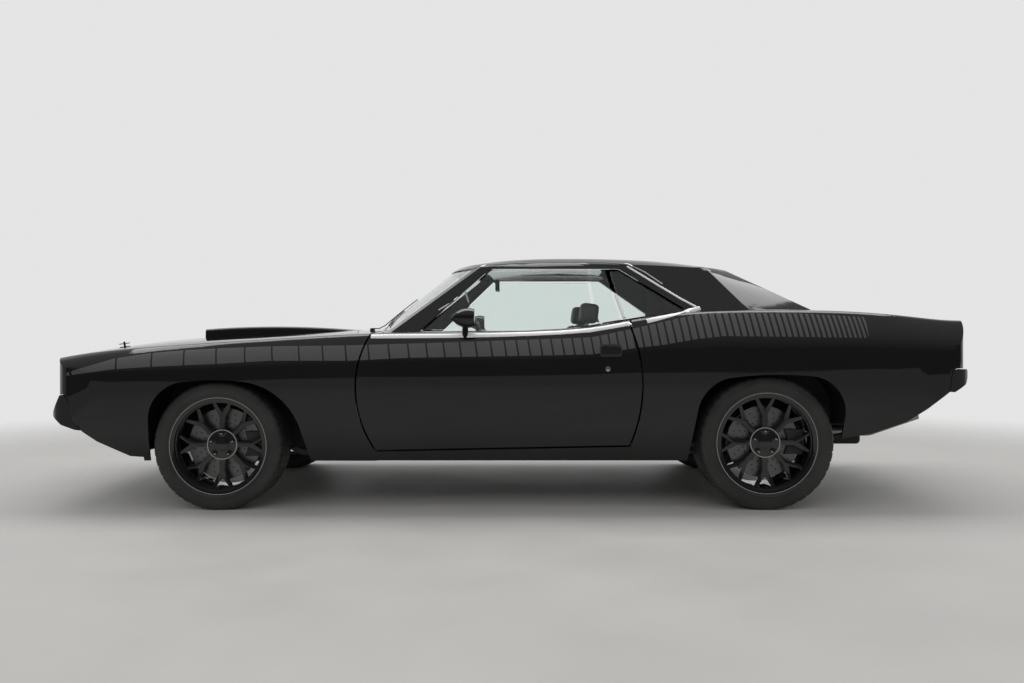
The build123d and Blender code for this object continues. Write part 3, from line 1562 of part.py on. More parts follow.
# Door mirrors: bullet housings on a short foot
mirror_x = door_front_x + 399.0
mirror_y = 905.0
mirror_z = 960.0
mirror_length = 118.0
mirror_radius = 44.0
mirror_foot_radius = 15.0
mirror_nose_share = 0.86
mirror_foot_share = 0.6
mirror_plane = Plane(origin=(mirror_x, -mirror_y, mirror_z), x_dir=(1, 0, 0), z_dir=(0, -1, 0))
with BuildPart() as mirror_body:
    with BuildSketch(mirror_plane):
        with BuildLine():
            Polyline((0, 0), (mirror_length, 0), (mirror_length, mirror_radius))
            ThreePointArc((mirror_length, mirror_radius),
                          (mirror_length / 3, mirror_radius * mirror_nose_share), (0, 0))
        make_face()
    revolve(axis=Axis((mirror_x, -mirror_y, mirror_z), (1, 0, 0)))
    with BuildSketch(Plane.XY.offset(mirror_z)):
        with Locations((mirror_x + mirror_length * mirror_foot_share, -mirror_y + mirror_radius / 2)):
            Circle(mirror_foot_radius)
    extrude(amount=-(mirror_z - door_belt_z + mirror_radius))
    add(hull_outer, mode=Mode.SUBTRACT)
save(mirror_body.part, "mirror_left")
save(mirrored(mirror_body.part), "mirror_right")
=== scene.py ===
"""Looks for the two-door muscle coupe: materials, trim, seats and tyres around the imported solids.

Lengths are in metres. +X points to the tail, +Y to the car's right side and +Z up.
Pieces are drawn on the left side and mirrored to the right.
"""

import math

import bmesh
import bpy
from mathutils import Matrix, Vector
from mathutils.bvhtree import BVHTree


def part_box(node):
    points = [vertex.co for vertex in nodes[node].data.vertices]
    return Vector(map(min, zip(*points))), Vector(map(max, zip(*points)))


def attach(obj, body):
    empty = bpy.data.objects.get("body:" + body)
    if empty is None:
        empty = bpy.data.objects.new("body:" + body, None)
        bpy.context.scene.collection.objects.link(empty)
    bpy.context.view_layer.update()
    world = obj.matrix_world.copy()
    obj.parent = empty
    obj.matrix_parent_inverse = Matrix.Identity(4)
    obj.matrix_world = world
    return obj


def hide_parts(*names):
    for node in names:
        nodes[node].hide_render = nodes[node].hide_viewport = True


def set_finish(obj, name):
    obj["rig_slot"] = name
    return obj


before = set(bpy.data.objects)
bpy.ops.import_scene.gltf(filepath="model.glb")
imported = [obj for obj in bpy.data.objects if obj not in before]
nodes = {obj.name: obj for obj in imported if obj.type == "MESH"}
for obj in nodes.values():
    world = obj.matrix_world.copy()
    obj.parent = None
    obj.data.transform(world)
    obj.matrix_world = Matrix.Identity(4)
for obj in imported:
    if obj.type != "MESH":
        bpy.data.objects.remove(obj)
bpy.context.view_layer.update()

# The photograph's camera
IMAGE_WIDTH = 1024
IMAGE_HEIGHT = 683
LENS = 35.0
SENSOR = 36.0
FOCAL = LENS / SENSOR * IMAGE_WIDTH
HORIZON_ROW = 336.0
CAMERA_AT = Vector((0.014, -5.87, 0.87))

scene = bpy.context.scene
scene.view_settings.view_transform = "Standard"
camera = bpy.data.objects.new("camera", bpy.data.cameras.new("camera"))
scene.collection.objects.link(camera)
scene.camera = camera
camera.location = CAMERA_AT
camera.rotation_euler = (math.pi / 2 - math.atan((IMAGE_HEIGHT / 2 - HORIZON_ROW) / FOCAL), 0, 0)
camera.data.lens = LENS
camera.data.sensor_width = SENSOR
camera.data.clip_end = 200.0


# Material helpers
def blank(name):
    """A new node material with nothing but its output."""
    material = bpy.data.materials.new(name)
    material.use_nodes = True
    tree = material.node_tree
    tree.nodes.clear()
    return material, tree, tree.nodes.new("ShaderNodeOutputMaterial")


def put(tree, kind, inputs=None, **settings):
    """A node with its settings, and inputs that are values or other nodes' sockets."""
    node = tree.nodes.new(kind)
    for key, value in settings.items():
        setattr(node, key, value)
    for key, value in (inputs or {}).items():
        if isinstance(value, bpy.types.NodeSocket):
            tree.links.new(value, node.inputs[key])
        else:
            node.inputs[key].default_value = value
    return node


def math_node(tree, operation, a, b=0.0, c=0.0):
    """The result of one sum on values or sockets."""
    return put(tree, "ShaderNodeMath", {0: a, 1: b, 2: c}, operation=operation).outputs[0]


def place_of(tree):
    """Object coordinates, which are the row frame's at rest."""
    return put(tree, "ShaderNodeTexCoord").outputs["Object"]


def spread(tree, source, low, high):
    """A 0 to 1 value mapped to a range."""
    return put(tree, "ShaderNodeMapRange", {"Value": source, "To Min": low, "To Max": high}).outputs[0]


def noise(tree, scale, detail=4.0, roughness=0.5, vector=None):
    """Noise over the row frame."""
    where = place_of(tree) if vector is None else vector
    node = put(tree, "ShaderNodeTexNoise", {"Vector": where, "Scale": scale, "Detail": detail,
                                            "Roughness": roughness})
    return node.outputs["Fac"]


def mixed(tree, factor, dark, light):
    """Colour between two by a factor."""
    node = put(tree, "ShaderNodeMix", data_type="RGBA")
    sockets = [s for s in node.inputs if s.enabled]
    for socket, value in zip(sockets, (factor, dark, light)):
        if isinstance(value, bpy.types.NodeSocket):
            tree.links.new(value, socket)
        else:
            socket.default_value = value
    return [s for s in node.outputs if s.enabled][0]


def bump(tree, height, strength, distance):
    """Surface bump from a height."""
    return put(tree, "ShaderNodeBump", {"Height": height, "Strength": strength,
                                        "Distance": distance}).outputs[0]


def rgba(grey, tint=(1.0, 1.0, 1.0)):
    """A grey with a tint, as a colour."""
    return (grey * tint[0], grey * tint[1], grey * tint[2], 1.0)


def plain(name, dark, light, rough, metallic=0.0, grain=120.0, relief=0.1, depth=0.0004, coat=0.0,
          specular=0.5, wear=3.0):
    """General material: two close colours, uneven roughness and a fine surface grain."""
    material, tree, output = blank(name)
    broad = noise(tree, wear, 5.0)
    fine = noise(tree, grain, 3.0)
    shader = put(tree, "ShaderNodeBsdfPrincipled", {
        "Base Color": mixed(tree, broad, dark, light),
        "Roughness": spread(tree, noise(tree, wear * 4, 6.0), rough[0], rough[1]),
        "Metallic": metallic, "Coat Weight": coat, "Coat Roughness": 0.04,
        "Specular IOR Level": specular, "Normal": bump(tree, fine, relief, depth)})
    tree.links.new(shader.outputs[0], output.inputs[0])
    return material


# Stripe along the side: bars cut by slanting gaps that crowd together towards the tail
SIDE_DEPTH = 0.915
SIDE_SCALE = (-SIDE_DEPTH - CAMERA_AT.y) / FOCAL


def side_x(column):
    """Place along the car of a column of the photograph, on the car's side."""
    return CAMERA_AT.x + (column - IMAGE_WIDTH / 2) * SIDE_SCALE


def side_z(row):
    """Height of a row of the photograph, on the car's side."""
    return CAMERA_AT.z + (HORIZON_ROW - row) * SIDE_SCALE


# Each entry: a column of the photograph and the rows of the stripe's upper and lower edge there
stripe_edges = [
    (63.7, 373.0, 376.0), (111.6, 358.6, 369.4), (146, 353.5, 367), (181, 350.4, 365.3),
    (214, 348.5, 364), (271, 346.3, 360.6), (350, 345.3, 360.6), (408, 343.6, 357.7),
    (552, 338.8, 355.2), (592, 337.3, 354.2), (635, 328.3, 348), (663, 321.8, 344.8),
    (697, 314.5, 339), (725, 313, 336), (800, 313, 336.8), (870, 316.8, 338),
]
gap_columns = [112.2, 148.4, 181.4, 214.3, 243.3, 270.8, 298, 321.8, 345, 367.9, 388.3, 407.9, 426.2,
               443.6, 459.9, 475.8, 491, 505, 517, 529, 541, 552, 563, 573.4, 583.2, 592.6, 601.6,
               610.2, 618.6, 627, 635.4, 643.8]
STRIPE_END_COLUMN = 870.0
FIRST_REAR_SPACING = 8.4
LEAST_SPACING = 4.2
SPACING_SHRINK = 0.984
spacing = FIRST_REAR_SPACING
while gap_columns[-1] + spacing < STRIPE_END_COLUMN:
    gap_columns.append(gap_columns[-1] + spacing)
    spacing = max(spacing * SPACING_SHRINK, LEAST_SPACING)
STRIPE_LOW_Z = 0.62
STRIPE_HIGH_Z = 1.02
STRIPE_LEAST_Y = 0.76
LEAST_FACING = 0.2
GAP_SLANT = 0.16
GAP_SHARE_NOSE = 0.05
GAP_SHARE_TAIL = 0.52
GAP_WIDENING = 3.0


def curve_of(tree, source, points):
    """A float curve through points in 0 to 1."""
    node = put(tree, "ShaderNodeFloatCurve", {"Value": source})
    curve = node.mapping.curves[0]
    curve.points[0].location = points[0]
    curve.points[1].location = points[-1]
    for point in points[1:-1]:
        curve.points.new(*point)
    for point in curve.points:
        point.handle_type = "VECTOR"
    node.mapping.update()
    return node.outputs[0]


def stripe_mask(tree):
    """1 on the outer face of the stripe's bars and 0 elsewhere."""
    parts = put(tree, "ShaderNodeSeparateXYZ", {0: place_of(tree)})
    x, y, z = parts.outputs
    start, end = side_x(stripe_edges[0][0]), side_x(stripe_edges[-1][0])
    along = math_node(tree, "DIVIDE", math_node(tree, "SUBTRACT", x, start), end - start)
    height = math_node(tree, "DIVIDE", math_node(tree, "SUBTRACT", z, STRIPE_LOW_Z),
                       STRIPE_HIGH_Z - STRIPE_LOW_Z)

    def share(column):
        return (side_x(column) - start) / (end - start)

    def level(row):
        return (side_z(row) - STRIPE_LOW_Z) / (STRIPE_HIGH_Z - STRIPE_LOW_Z)

    upper = curve_of(tree, along, [(share(c), level(up)) for c, up, low in stripe_edges])
    lower = curve_of(tree, along, [(share(c), level(low)) for c, up, low in stripe_edges])
    slanted = math_node(tree, "ADD", along, math_node(
        tree, "MULTIPLY", math_node(tree, "SUBTRACT", height, 0.5),
        GAP_SLANT * (STRIPE_HIGH_Z - STRIPE_LOW_Z) / (end - start)))
    count = len(gap_columns)
    numbers = [(0.0, 0.0)] + [(share(c), (n + 1) / (count + 1)) for n, c in enumerate(gap_columns)]
    number = math_node(tree, "MULTIPLY", curve_of(tree, slanted, numbers + [(1.0, 1.0)]), count + 1)
    from_gap = math_node(tree, "ABSOLUTE", math_node(
        tree, "SUBTRACT", math_node(tree, "FRACT", math_node(tree, "ADD", number, 0.5)), 0.5))
    widening = math_node(tree, "POWER", along, GAP_WIDENING)
    gap = math_node(tree, "MULTIPLY", spread(tree, widening, GAP_SHARE_NOSE, GAP_SHARE_TAIL), 0.5)
    mask = math_node(tree, "GREATER_THAN", from_gap, gap)
    for low_value, high_value in ((lower, height), (height, upper), (0.0, along), (along, 1.0)):
        mask = math_node(tree, "MULTIPLY", mask,
                         math_node(tree, "LESS_THAN", low_value, high_value))
    wide = math_node(tree, "GREATER_THAN", math_node(tree, "ABSOLUTE", y), STRIPE_LEAST_Y)
    facing = put(tree, "ShaderNodeSeparateXYZ", {0: put(tree, "ShaderNodeTexCoord").outputs["Normal"]})
    outside = math_node(tree, "GREATER_THAN", math_node(tree, "MULTIPLY", y, facing.outputs[1]),
                        LEAST_FACING)
    return math_node(tree, "MULTIPLY", mask, math_node(tree, "MULTIPLY", wide, outside))


PAINT_DARK = (0.0035, 0.0035, 0.0037, 1.0)
PAINT_LIGHT = (0.0060, 0.0060, 0.0064, 1.0)
BAR_COLOUR = (0.058, 0.056, 0.058, 1.0)


def paint(name, striped):
    """Deep gloss black paint, with a satin stripe where one is asked for."""
    material, tree, output = blank(name)
    peel = noise(tree, 260.0, 2.0)
    colour = mixed(tree, noise(tree, 2.0, 5.0), PAINT_DARK, PAINT_LIGHT)
    rough = spread(tree, noise(tree, 9.0, 6.0), 0.03, 0.075)
    if striped:
        mask = stripe_mask(tree)
        flake = mixed(tree, noise(tree, 700.0, 2.0), rgba(0.042), BAR_COLOUR)
        colour = mixed(tree, mask, colour, flake)
        rough = math_node(tree, "ADD", rough, math_node(tree, "MULTIPLY", mask, 0.26))
    shader = put(tree, "ShaderNodeBsdfPrincipled", {
        "Base Color": colour, "Roughness": rough, "Specular IOR Level": 0.5,
        "Normal": bump(tree, peel, 0.02, 0.0003)})
    tree.links.new(shader.outputs[0], output.inputs[0])
    return material


def clear(name, colour, roughness):
    """Glass or clear plastic that lets light through for shadows."""
    material, tree, output = blank(name)
    smear = spread(tree, noise(tree, 14.0, 6.0), roughness, roughness + 0.012)
    glass = put(tree, "ShaderNodeBsdfPrincipled", {
        "Base Color": colour, "Roughness": smear, "Transmission Weight": 1.0, "IOR": 1.45})
    light = put(tree, "ShaderNodeLightPath")
    tinted = put(tree, "ShaderNodeBsdfTransparent", {"Color": colour})
    both = put(tree, "ShaderNodeMixShader", {0: light.outputs["Is Shadow Ray"], 1: glass.outputs[0],
                                             2: tinted.outputs[0]})
    tree.links.new(both.outputs[0], output.inputs[0])
    return material


def rubber(name):
    """Tyre rubber with a dusty bloom and moulding grain."""
    material, tree, output = blank(name)
    dust = noise(tree, 7.0, 8.0, 0.65)
    bloom = spread(tree, dust, -0.3, 1.1)
    shader = put(tree, "ShaderNodeBsdfPrincipled", {
        "Base Color": mixed(tree, bloom, rgba(0.010), rgba(0.030, (1, 0.97, 0.93))),
        "Roughness": spread(tree, dust, 0.36, 0.60), "Specular IOR Level": 0.5,
        "Normal": bump(tree, noise(tree, 420.0, 3.0), 0.22, 0.0005)})
    tree.links.new(shader.outputs[0], output.inputs[0])
    return material


def leather(name, dark, light):
    """Pebbled leather."""
    material, tree, output = blank(name)
    cells = put(tree, "ShaderNodeTexVoronoi", {"Vector": place_of(tree), "Scale": 420.0},
                feature="DISTANCE_TO_EDGE").outputs["Distance"]
    creases = noise(tree, 40.0, 6.0, 0.6)
    height = math_node(tree, "ADD", math_node(tree, "MULTIPLY", cells, 1.4), creases)
    shader = put(tree, "ShaderNodeBsdfPrincipled", {
        "Base Color": mixed(tree, noise(tree, 5.0, 5.0), dark, light),
        "Roughness": spread(tree, creases, 0.42, 0.62), "Specular IOR Level": 0.4,
        "Normal": bump(tree, height, 0.25, 0.0006)})
    tree.links.new(shader.outputs[0], output.inputs[0])
    return material


def turned(name, axle_x, axle_z, dark, light, rough, pitch):
    """Metal turned round an axle: fine rings in colour, roughness and bump."""
    material, tree, output = blank(name)
    parts = put(tree, "ShaderNodeSeparateXYZ", {0: place_of(tree)})
    dx = math_node(tree, "SUBTRACT", parts.outputs[0], axle_x)
    dz = math_node(tree, "SUBTRACT", parts.outputs[2], axle_z)
    radius = math_node(tree, "SQRT", math_node(tree, "ADD", math_node(tree, "MULTIPLY", dx, dx),
                                               math_node(tree, "MULTIPLY", dz, dz)))
    vector = put(tree, "ShaderNodeCombineXYZ", {0: radius}).outputs[0]
    rings = noise(tree, pitch, 4.0, 0.7, vector)
    shader = put(tree, "ShaderNodeBsdfPrincipled", {
        "Base Color": mixed(tree, rings, dark, light), "Metallic": 1.0,
        "Roughness": spread(tree, rings, rough[0], rough[1]),
        "Normal": bump(tree, rings, 0.2, 0.0003)})
    tree.links.new(shader.outputs[0], output.inputs[0])
    return material


black_paint = paint("black_paint", False)
striped_paint = paint("striped_paint", True)
chrome = plain("chrome", rgba(0.72), rgba(0.80), (0.05, 0.12), metallic=1.0, relief=0.02)
dark_chrome = plain("dark_chrome", rgba(0.36), rgba(0.44), (0.08, 0.16), metallic=1.0, relief=0.02)
# Pale, barely metallic grey: painted shine that stands in for the chrome's reflection, so the trim looks
# lit under any light
bright_trim = plain("bright_trim", rgba(0.58), rgba(0.68), (0.25, 0.40), metallic=0.3, relief=0.03)
# Grey well above the wheels' black: a painted highlight on the hub ring and the rim lip
rim_painted_highlight = plain("rim_painted_highlight", rgba(0.24), rgba(0.32), (0.12, 0.22), metallic=0.5, relief=0.02)
wheel_black = plain("wheel_black", rgba(0.004), rgba(0.007), (0.05, 0.12), relief=0.02, specular=0.7,
                    grain=300.0)
satin_black = plain("satin_black", rgba(0.010), rgba(0.018), (0.38, 0.55), relief=0.12)
plastic = plain("moulded_plastic", rgba(0.012), rgba(0.018), (0.45, 0.6), grain=500.0, relief=0.25)
chassis = plain("chassis_paint", rgba(0.010), rgba(0.028, (1, 0.97, 0.93)), (0.5, 0.8), grain=60.0,
                relief=0.35, depth=0.0015, wear=6.0)
cast = plain("cast_metal", rgba(0.045), rgba(0.075), (0.5, 0.7), metallic=0.4, grain=240.0, relief=0.5,
             depth=0.001)
steel = plain("pipe_steel", rgba(0.30, (1, 0.98, 0.95)), rgba(0.42, (1, 0.97, 0.92)), (0.3, 0.5),
              metallic=1.0, wear=9.0)
tyre_rubber = rubber("tyre_rubber")
seat_leather = leather("seat_leather", rgba(0.012), rgba(0.020))
trim_leather = leather("trim_leather", rgba(0.010), rgba(0.016))
window_glass = clear("window_glass", (0.91, 0.97, 0.95, 1.0), 0.0)
dark_glass = clear("dark_glass", (0.42, 0.46, 0.45, 1.0), 0.0)
lamp_glass = clear("lamp_glass", (0.93, 0.95, 0.96, 1.0), 0.01)
red_glass = plain("red_lens", (0.16, 0.004, 0.004, 1.0), (0.24, 0.008, 0.006, 1.0), (0.06, 0.12),
                  grain=40.0, relief=0.1, specular=0.7)


# Mesh helpers
def new_piece(name, points, faces, material, body, slot=None, creased=True):
    """A mesh in the row frame, riding on a body."""
    mesh = bpy.data.meshes.new(name)
    mesh.from_pydata([tuple(p) for p in points], [], faces)
    mesh.validate()
    edit = bmesh.new()
    edit.from_mesh(mesh)
    bmesh.ops.recalc_face_normals(edit, faces=edit.faces)
    edit.to_mesh(mesh)
    edit.free()
    mesh.materials.append(material)
    piece = bpy.data.objects.new(name, mesh)
    scene.collection.objects.link(piece)
    mesh.shade_smooth()
    if creased:
        sharp_edges(piece)
    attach(piece, body)
    if slot:
        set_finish(piece, slot)
    return piece


SHARP_ANGLE = math.radians(32)


def sharp_edges(piece):
    """Split shading at sharp edges."""
    split = piece.modifiers.new("sharp", "EDGE_SPLIT")
    split.split_angle = SHARP_ANGLE


def mirrored_piece(piece, name, body):
    """The same piece on the right side."""
    points = [(v.co.x, -v.co.y, v.co.z) for v in piece.data.vertices]
    faces = [tuple(reversed(p.vertices)) for p in piece.data.polygons]
    return new_piece(name, points, faces, piece.data.materials[0], body, piece.get("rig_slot"))


def pair(name, points, faces, material, bodies, slot=None):
    """A piece on the left and its mirror image on the right."""
    left = new_piece(f"{name}_left", points, faces, material, bodies[0], slot)
    right = mirrored_piece(left, f"{name}_right", bodies[1])
    return left, right


def sweep(path, width, thickness, out_of, sides=8, closed=False):
    """A rounded strip along a path. out_of gives the way it faces at each point."""
    points, faces = [], []
    count = len(path)
    for n, at in enumerate(path):
        ahead = path[(n + 1) % count] if closed or n + 1 < count else at
        behind = path[n - 1] if closed or n > 0 else at
        run = (ahead - behind).normalized()
        face = out_of[n] - run * out_of[n].dot(run)
        face.normalize()
        across = run.cross(face)
        for k in range(sides):
            turn = 2 * math.pi * (k + 0.5) / sides
            points.append(at + across * (width / 2 * math.cos(turn))
                          + face * (thickness / 2 * math.sin(turn)))
    rings = count if closed else count - 1
    for n in range(rings):
        for k in range(sides):
            a, b = n * sides + k, n * sides + (k + 1) % sides
            c, d = ((n + 1) % count) * sides + (k + 1) % sides, ((n + 1) % count) * sides + k
            faces.append((a, b, c, d))
    if not closed:
        faces.append(tuple(range(sides)))
        faces.append(tuple(reversed(range((count - 1) * sides, count * sides))))
    return points, faces


def lathe(profile, centre, axis, sides=48):
    """Closed profile of (along, radius) turned round an axis through a centre."""
    axis = axis.normalized()
    first = axis.orthogonal().normalized()
    second = axis.cross(first)
    points, faces = [], []
    for n in range(sides):
        turn = 2 * math.pi * n / sides
        way = first * math.cos(turn) + second * math.sin(turn)
        points.extend(centre + axis * along + way * radius for along, radius in profile)
    step = len(profile)
    for n in range(sides):
        m = (n + 1) % sides
        for k in range(step):
            j = (k + 1) % step
            faces.append((n * step + k, n * step + j, m * step + j, m * step + k))
    return points, faces


def plate(centre, right, up, width, height, depth, corner=0.2, bevel=0.15, steps=5):
    """Rounded plate standing a depth before and behind its centre, with a chamfered front."""
    right, up = right.normalized(), up.normalized()
    face = right.cross(up)
    radius = corner * min(width, height)
    outline = []
    for sx, sy, start in ((1, 1, 0), (-1, 1, 90), (-1, -1, 180), (1, -1, 270)):
        for n in range(steps + 1):
            turn = math.radians(start + 90 * n / steps)
            outline.append((sx * (width / 2 - radius) + radius * math.cos(turn),
                            sy * (height / 2 - radius) + radius * math.sin(turn)))
    edge = bevel * depth
    rings = [(-depth, 0.0), (depth - edge, 0.0), (depth, edge)]
    points, faces = [], []
    for level, inset in rings:
        for u, v in outline:
            su = 1 - 2 * inset / width
            sv = 1 - 2 * inset / height
            points.append(centre + right * (u * su) + up * (v * sv) + face * level)
    count = len(outline)
    last = len(rings) - 1
    for ring in range(last):
        for n in range(count):
            m = (n + 1) % count
            faces.append((ring * count + n, ring * count + m, (ring + 1) * count + m,
                          (ring + 1) * count + n))
    faces.append(tuple(range(count)))
    faces.append(tuple(range(last * count, len(points))))
    return points, faces


def joined(*parts):
    """Several point and face lists as one."""
    points, faces = [], []
    for more_points, more_faces in parts:
        shift = len(points)
        points.extend(more_points)
        faces.extend(tuple(i + shift for i in face) for face in more_faces)
    return points, faces


# Finding places on the solids
NEAR_CAR = 5.0
ABOVE_CAR = 3.0
BELT_HEIGHT = 1.0
BEYOND_END = 4.0
END_X = 2.3
trees = {}


def surface(names):
    """Search tree over some CAD nodes."""
    if names not in trees:
        parts = joined(*[([v.co.copy() for v in nodes[n].data.vertices],
                          [tuple(p.vertices) for p in nodes[n].data.polygons]) for n in names])
        trees[names] = BVHTree.FromPolygons(parts[0], parts[1])
    return trees[names]


def outward(normal, ray):
    """The normal that faces the way the ray came from."""
    return -normal if normal.dot(ray) > 0 else normal


def seen(column, row, names):
    """Where a point of the photograph lies on some CAD nodes, and the way they face there."""
    ray = Vector(((column - IMAGE_WIDTH / 2) / FOCAL, 1.0, (HORIZON_ROW - row) / FOCAL)).normalized()
    at, normal, _, _ = surface(names).ray_cast(CAMERA_AT, ray)
    if at is None:
        at, normal, _, _ = surface(names).find_nearest(CAMERA_AT + ray * NEAR_CAR)
    return at, outward(normal, ray)


def under(x, y, names):
    """Where a plumb line meets some CAD nodes from above."""
    ray = Vector((0, 0, -1))
    at, normal, _, _ = surface(names).ray_cast(Vector((x, y, ABOVE_CAR)), ray)
    if at is None:
        at, normal, _, _ = surface(names).find_nearest(Vector((x, y, BELT_HEIGHT)))
    return at, outward(normal, ray)


def level_with(y, z, names, towards):
    """Where a level line along the car meets some CAD nodes from its nose or tail."""
    ray = Vector((towards, 0, 0))
    at, normal, _, _ = surface(names).ray_cast(Vector((-BEYOND_END * towards, y, z)), ray)
    if at is None:
        at, normal, _, _ = surface(names).find_nearest(Vector((-END_X * towards, y, z)))
    return at, outward(normal, ray)


def dense(corners, step):
    """Points between corners, at most a step apart."""
    run = [corners[0]]
    for start, end in zip(corners, corners[1:]):
        parts = max(1, round(math.dist(start, end) / step))
        run.extend(tuple(a + (b - a) * n / parts for a, b in zip(start, end))
                   for n in range(1, parts + 1))
    return run


# CAD nodes: weld, soften edges, and materials
BODY_NODES = {
    "striped": ["front_fender_left", "front_fender_right", "door_left", "door_right",
                "quarter_panel_left", "quarter_panel_right"],
    "paint": ["roof", "hood", "deck_lid", "cowl_panel", "rear_shelf", "front_bumper", "rear_bumper",
              "rockers", "tail_panel", "mirror_left", "mirror_right", "front_valance",
              "rear_valance"],
    "glass": ["windscreen", "rear_window", "quarter_glass", "door_glass_left", "door_glass_right"],
    "chassis": ["floor_pan", "front_frame", "inner_fenders", "front_suspension", "rear_axle",
                "fuel_tank"],
    "plastic": ["grille", "grille_surround", "dashboard", "console"],
}
materials = {"striped": striped_paint, "paint": black_paint, "glass": window_glass,
             "chassis": chassis, "plastic": plastic}
of_node = {n: materials[kind] for kind, names in BODY_NODES.items() for n in names}
AXLES = {"front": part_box("wheel_front_left"), "rear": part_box("wheel_rear_left")}
for end, (low, high) in AXLES.items():
    centre = (low + high) / 2
    disc_metal = turned(f"disc_metal_{end}", centre.x, centre.z, rgba(0.13), rgba(0.25), (0.28, 0.42),
                        900.0)
    for side in ("left", "right"):
        of_node[f"wheel_{end}_{side}"] = wheel_black
        of_node[f"brake_disc_{end}_{side}"] = disc_metal
        of_node[f"tyre_{end}_{side}"] = tyre_rubber
of_node.update({"knuckle_left": satin_black, "knuckle_right": satin_black, "exhaust": steel,
                "engine": cast, "headlamps": lamp_glass, "rear_window": dark_glass, "tail_lamps": red_glass,
                "front_seats": seat_leather, "rear_seat": seat_leather,
                "steering_wheel": trim_leather})
EDGE_RADIUS = {"wheel": 0.0012, "knuckle": 0.002, "engine": 0.006}
EDGE_STEPS = 2
EDGE_ANGLE = math.radians(40)
WELD_DISTANCE = 0.00002
for name, node in nodes.items():
    node.data.materials.clear()
    node.data.materials.append(of_node[name])
    with bpy.context.temp_override(object=node, active_object=node):
        bpy.ops.mesh.customdata_custom_splitnormals_clear()
    node.data.shade_smooth()
    weld = node.modifiers.new("weld", "WELD")
    weld.merge_threshold = WELD_DISTANCE
    radius = next((r for start, r in EDGE_RADIUS.items() if name.startswith(start)), 0.0)
    if radius:
        soften = node.modifiers.new("soften", "BEVEL")
        soften.width = radius
        soften.segments = EDGE_STEPS
        soften.limit_method = "ANGLE"
        soften.angle_limit = EDGE_ANGLE
    sharp_edges(node)

# Tyres with a grooved tread
TREAD_SIDES = 320
SHOULDER_BLOCK = 8
TREAD_LEAN = 0.05
GROOVE_DEPTH = 0.006
GROOVE_HALF_WIDTH = 0.0048
GROOVE_FLOOR_SHARE = 0.8
RIB_CUT = 0.0022
groove_shares = (0.22, 0.40, 0.60, 0.78)
# Each entry: how far in from the outer face, how far out from a level, and how deep a cross groove cuts
bead_points = [(0.010, -0.006, 0), (0.008, 0.002, 0), (0.0035, 0.008, 0), (0.0015, 0.012, 0),
               (0.0030, 0.015, 0)]
wall_points = [(0.0005, -0.004, 0), (0.0002, 0.004, 0), (0.0018, 0.012, 0)]
shoulder_points = [(0.0045, -0.018, 0), (0.0075, -0.0125, 0.0025), (0.0150, -0.0060, 0.0045),
                   (0.0250, -0.0022, 0.0050), (0.0360, -0.0008, 0.0050)]


def tyre_profile(width, radius, rim):
    """Places across a tyre from its outer face, with the radius and a cross groove's depth at each."""
    outer = []
    for level, around in ((rim, bead_points), ((rim + radius) / 2, wall_points),
                          (radius, shoulder_points)):
        outer.extend((across, level + out, cut) for across, out, cut in around)
    tread = []
    for share in groove_shares:
        at = width * share
        floor = GROOVE_HALF_WIDTH * GROOVE_FLOOR_SHARE
        tread.extend([(at - GROOVE_HALF_WIDTH, radius, RIB_CUT), (at - floor, radius - GROOVE_DEPTH, 0),
                      (at + floor, radius - GROOVE_DEPTH, 0), (at + GROOVE_HALF_WIDTH, radius, RIB_CUT)])
    inner = [(width - across, r, cut) for across, r, cut in reversed(outer)]
    return outer + tread + inner


for end, (low, high) in AXLES.items():
    tyre_low, tyre_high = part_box(f"tyre_{end}_left")
    rim = (high.z - low.z) / 2
    radius = (tyre_high.z - tyre_low.z) / 2
    centre = (low + high) / 2
    width = tyre_high.y - tyre_low.y
    profile = tyre_profile(width, radius, rim)
    points, faces = [], []
    for n in range(TREAD_SIDES):
        turn = 2 * math.pi * n / TREAD_SIDES
        in_groove = n % SHOULDER_BLOCK == 0
        for across, r, cut in profile:
            tilt = turn + (across / width - 0.5) * TREAD_LEAN
            here = r - (cut if in_groove else 0.0)
            points.append((centre.x + here * math.sin(tilt), tyre_low.y + across,
                           centre.z + here * math.cos(tilt)))
    step = len(profile)
    for n in range(TREAD_SIDES):
        m = (n + 1) % TREAD_SIDES
        for k in range(step):
            j = (k + 1) % step
            faces.append((n * step + k, n * step + j, m * step + j, m * step + k))
    left, right = pair(f"tread_{end}", points, faces, tyre_rubber,
                       (f"wheel_{end}_left", f"wheel_{end}_right"), "tyre")
    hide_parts(f"tyre_{end}_left")
    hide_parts(f"tyre_{end}_right")

# Wheel trim: hub ring, lip edge, cap, lug nuts, valve, and drilled holes in the discs
OUT = Vector((0, -1, 0))
SPOKE_FACE = {"front": 0.077, "rear": 0.044}
LUG_COUNT = 5
LUG_CIRCLE_RADIUS = 0.05715
VALVE_DEPTH = 0.030
VALVE_INSET = 0.034
DISC_FACE_DEPTH = 0.016
DISC_HOLES = 24
disc_hole_circles = (0.105, 0.130, 0.155)
# Profiles: how far out, and the radius or, for the lip, how far inside the rim
ring_profile = [(-0.001, 0.0765), (0.0020, 0.0765), (0.0026, 0.0740), (0.0020, 0.0715), (-0.001, 0.0715)]
lip_profile = [(-0.003, 0.0075), (0.0004, 0.0055), (0.0004, 0.0030), (-0.001, 0.0012)]
cap_profile = [(0.0, 0.0), (0.0125, 0.0), (0.0120, 0.016), (0.0100, 0.026), (0.0080, 0.0315),
               (0.0, 0.0325)]
nut_profile = [(0.0, 0.0), (0.016, 0.0), (0.0155, 0.005), (0.012, 0.0088), (0.0, 0.0104)]
valve_profile = [(-0.004, 0.0), (0.026, 0.0), (0.026, 0.003), (-0.004, 0.0036)]
hole_profile = [(-0.002, 0.0), (0.0004, 0.0), (0.0004, 0.0042), (-0.002, 0.0042)]


def round_about(centre, radius, turn):
    """A place on a circle that faces the side."""
    return centre + Vector((math.cos(turn), 0, math.sin(turn))) * radius


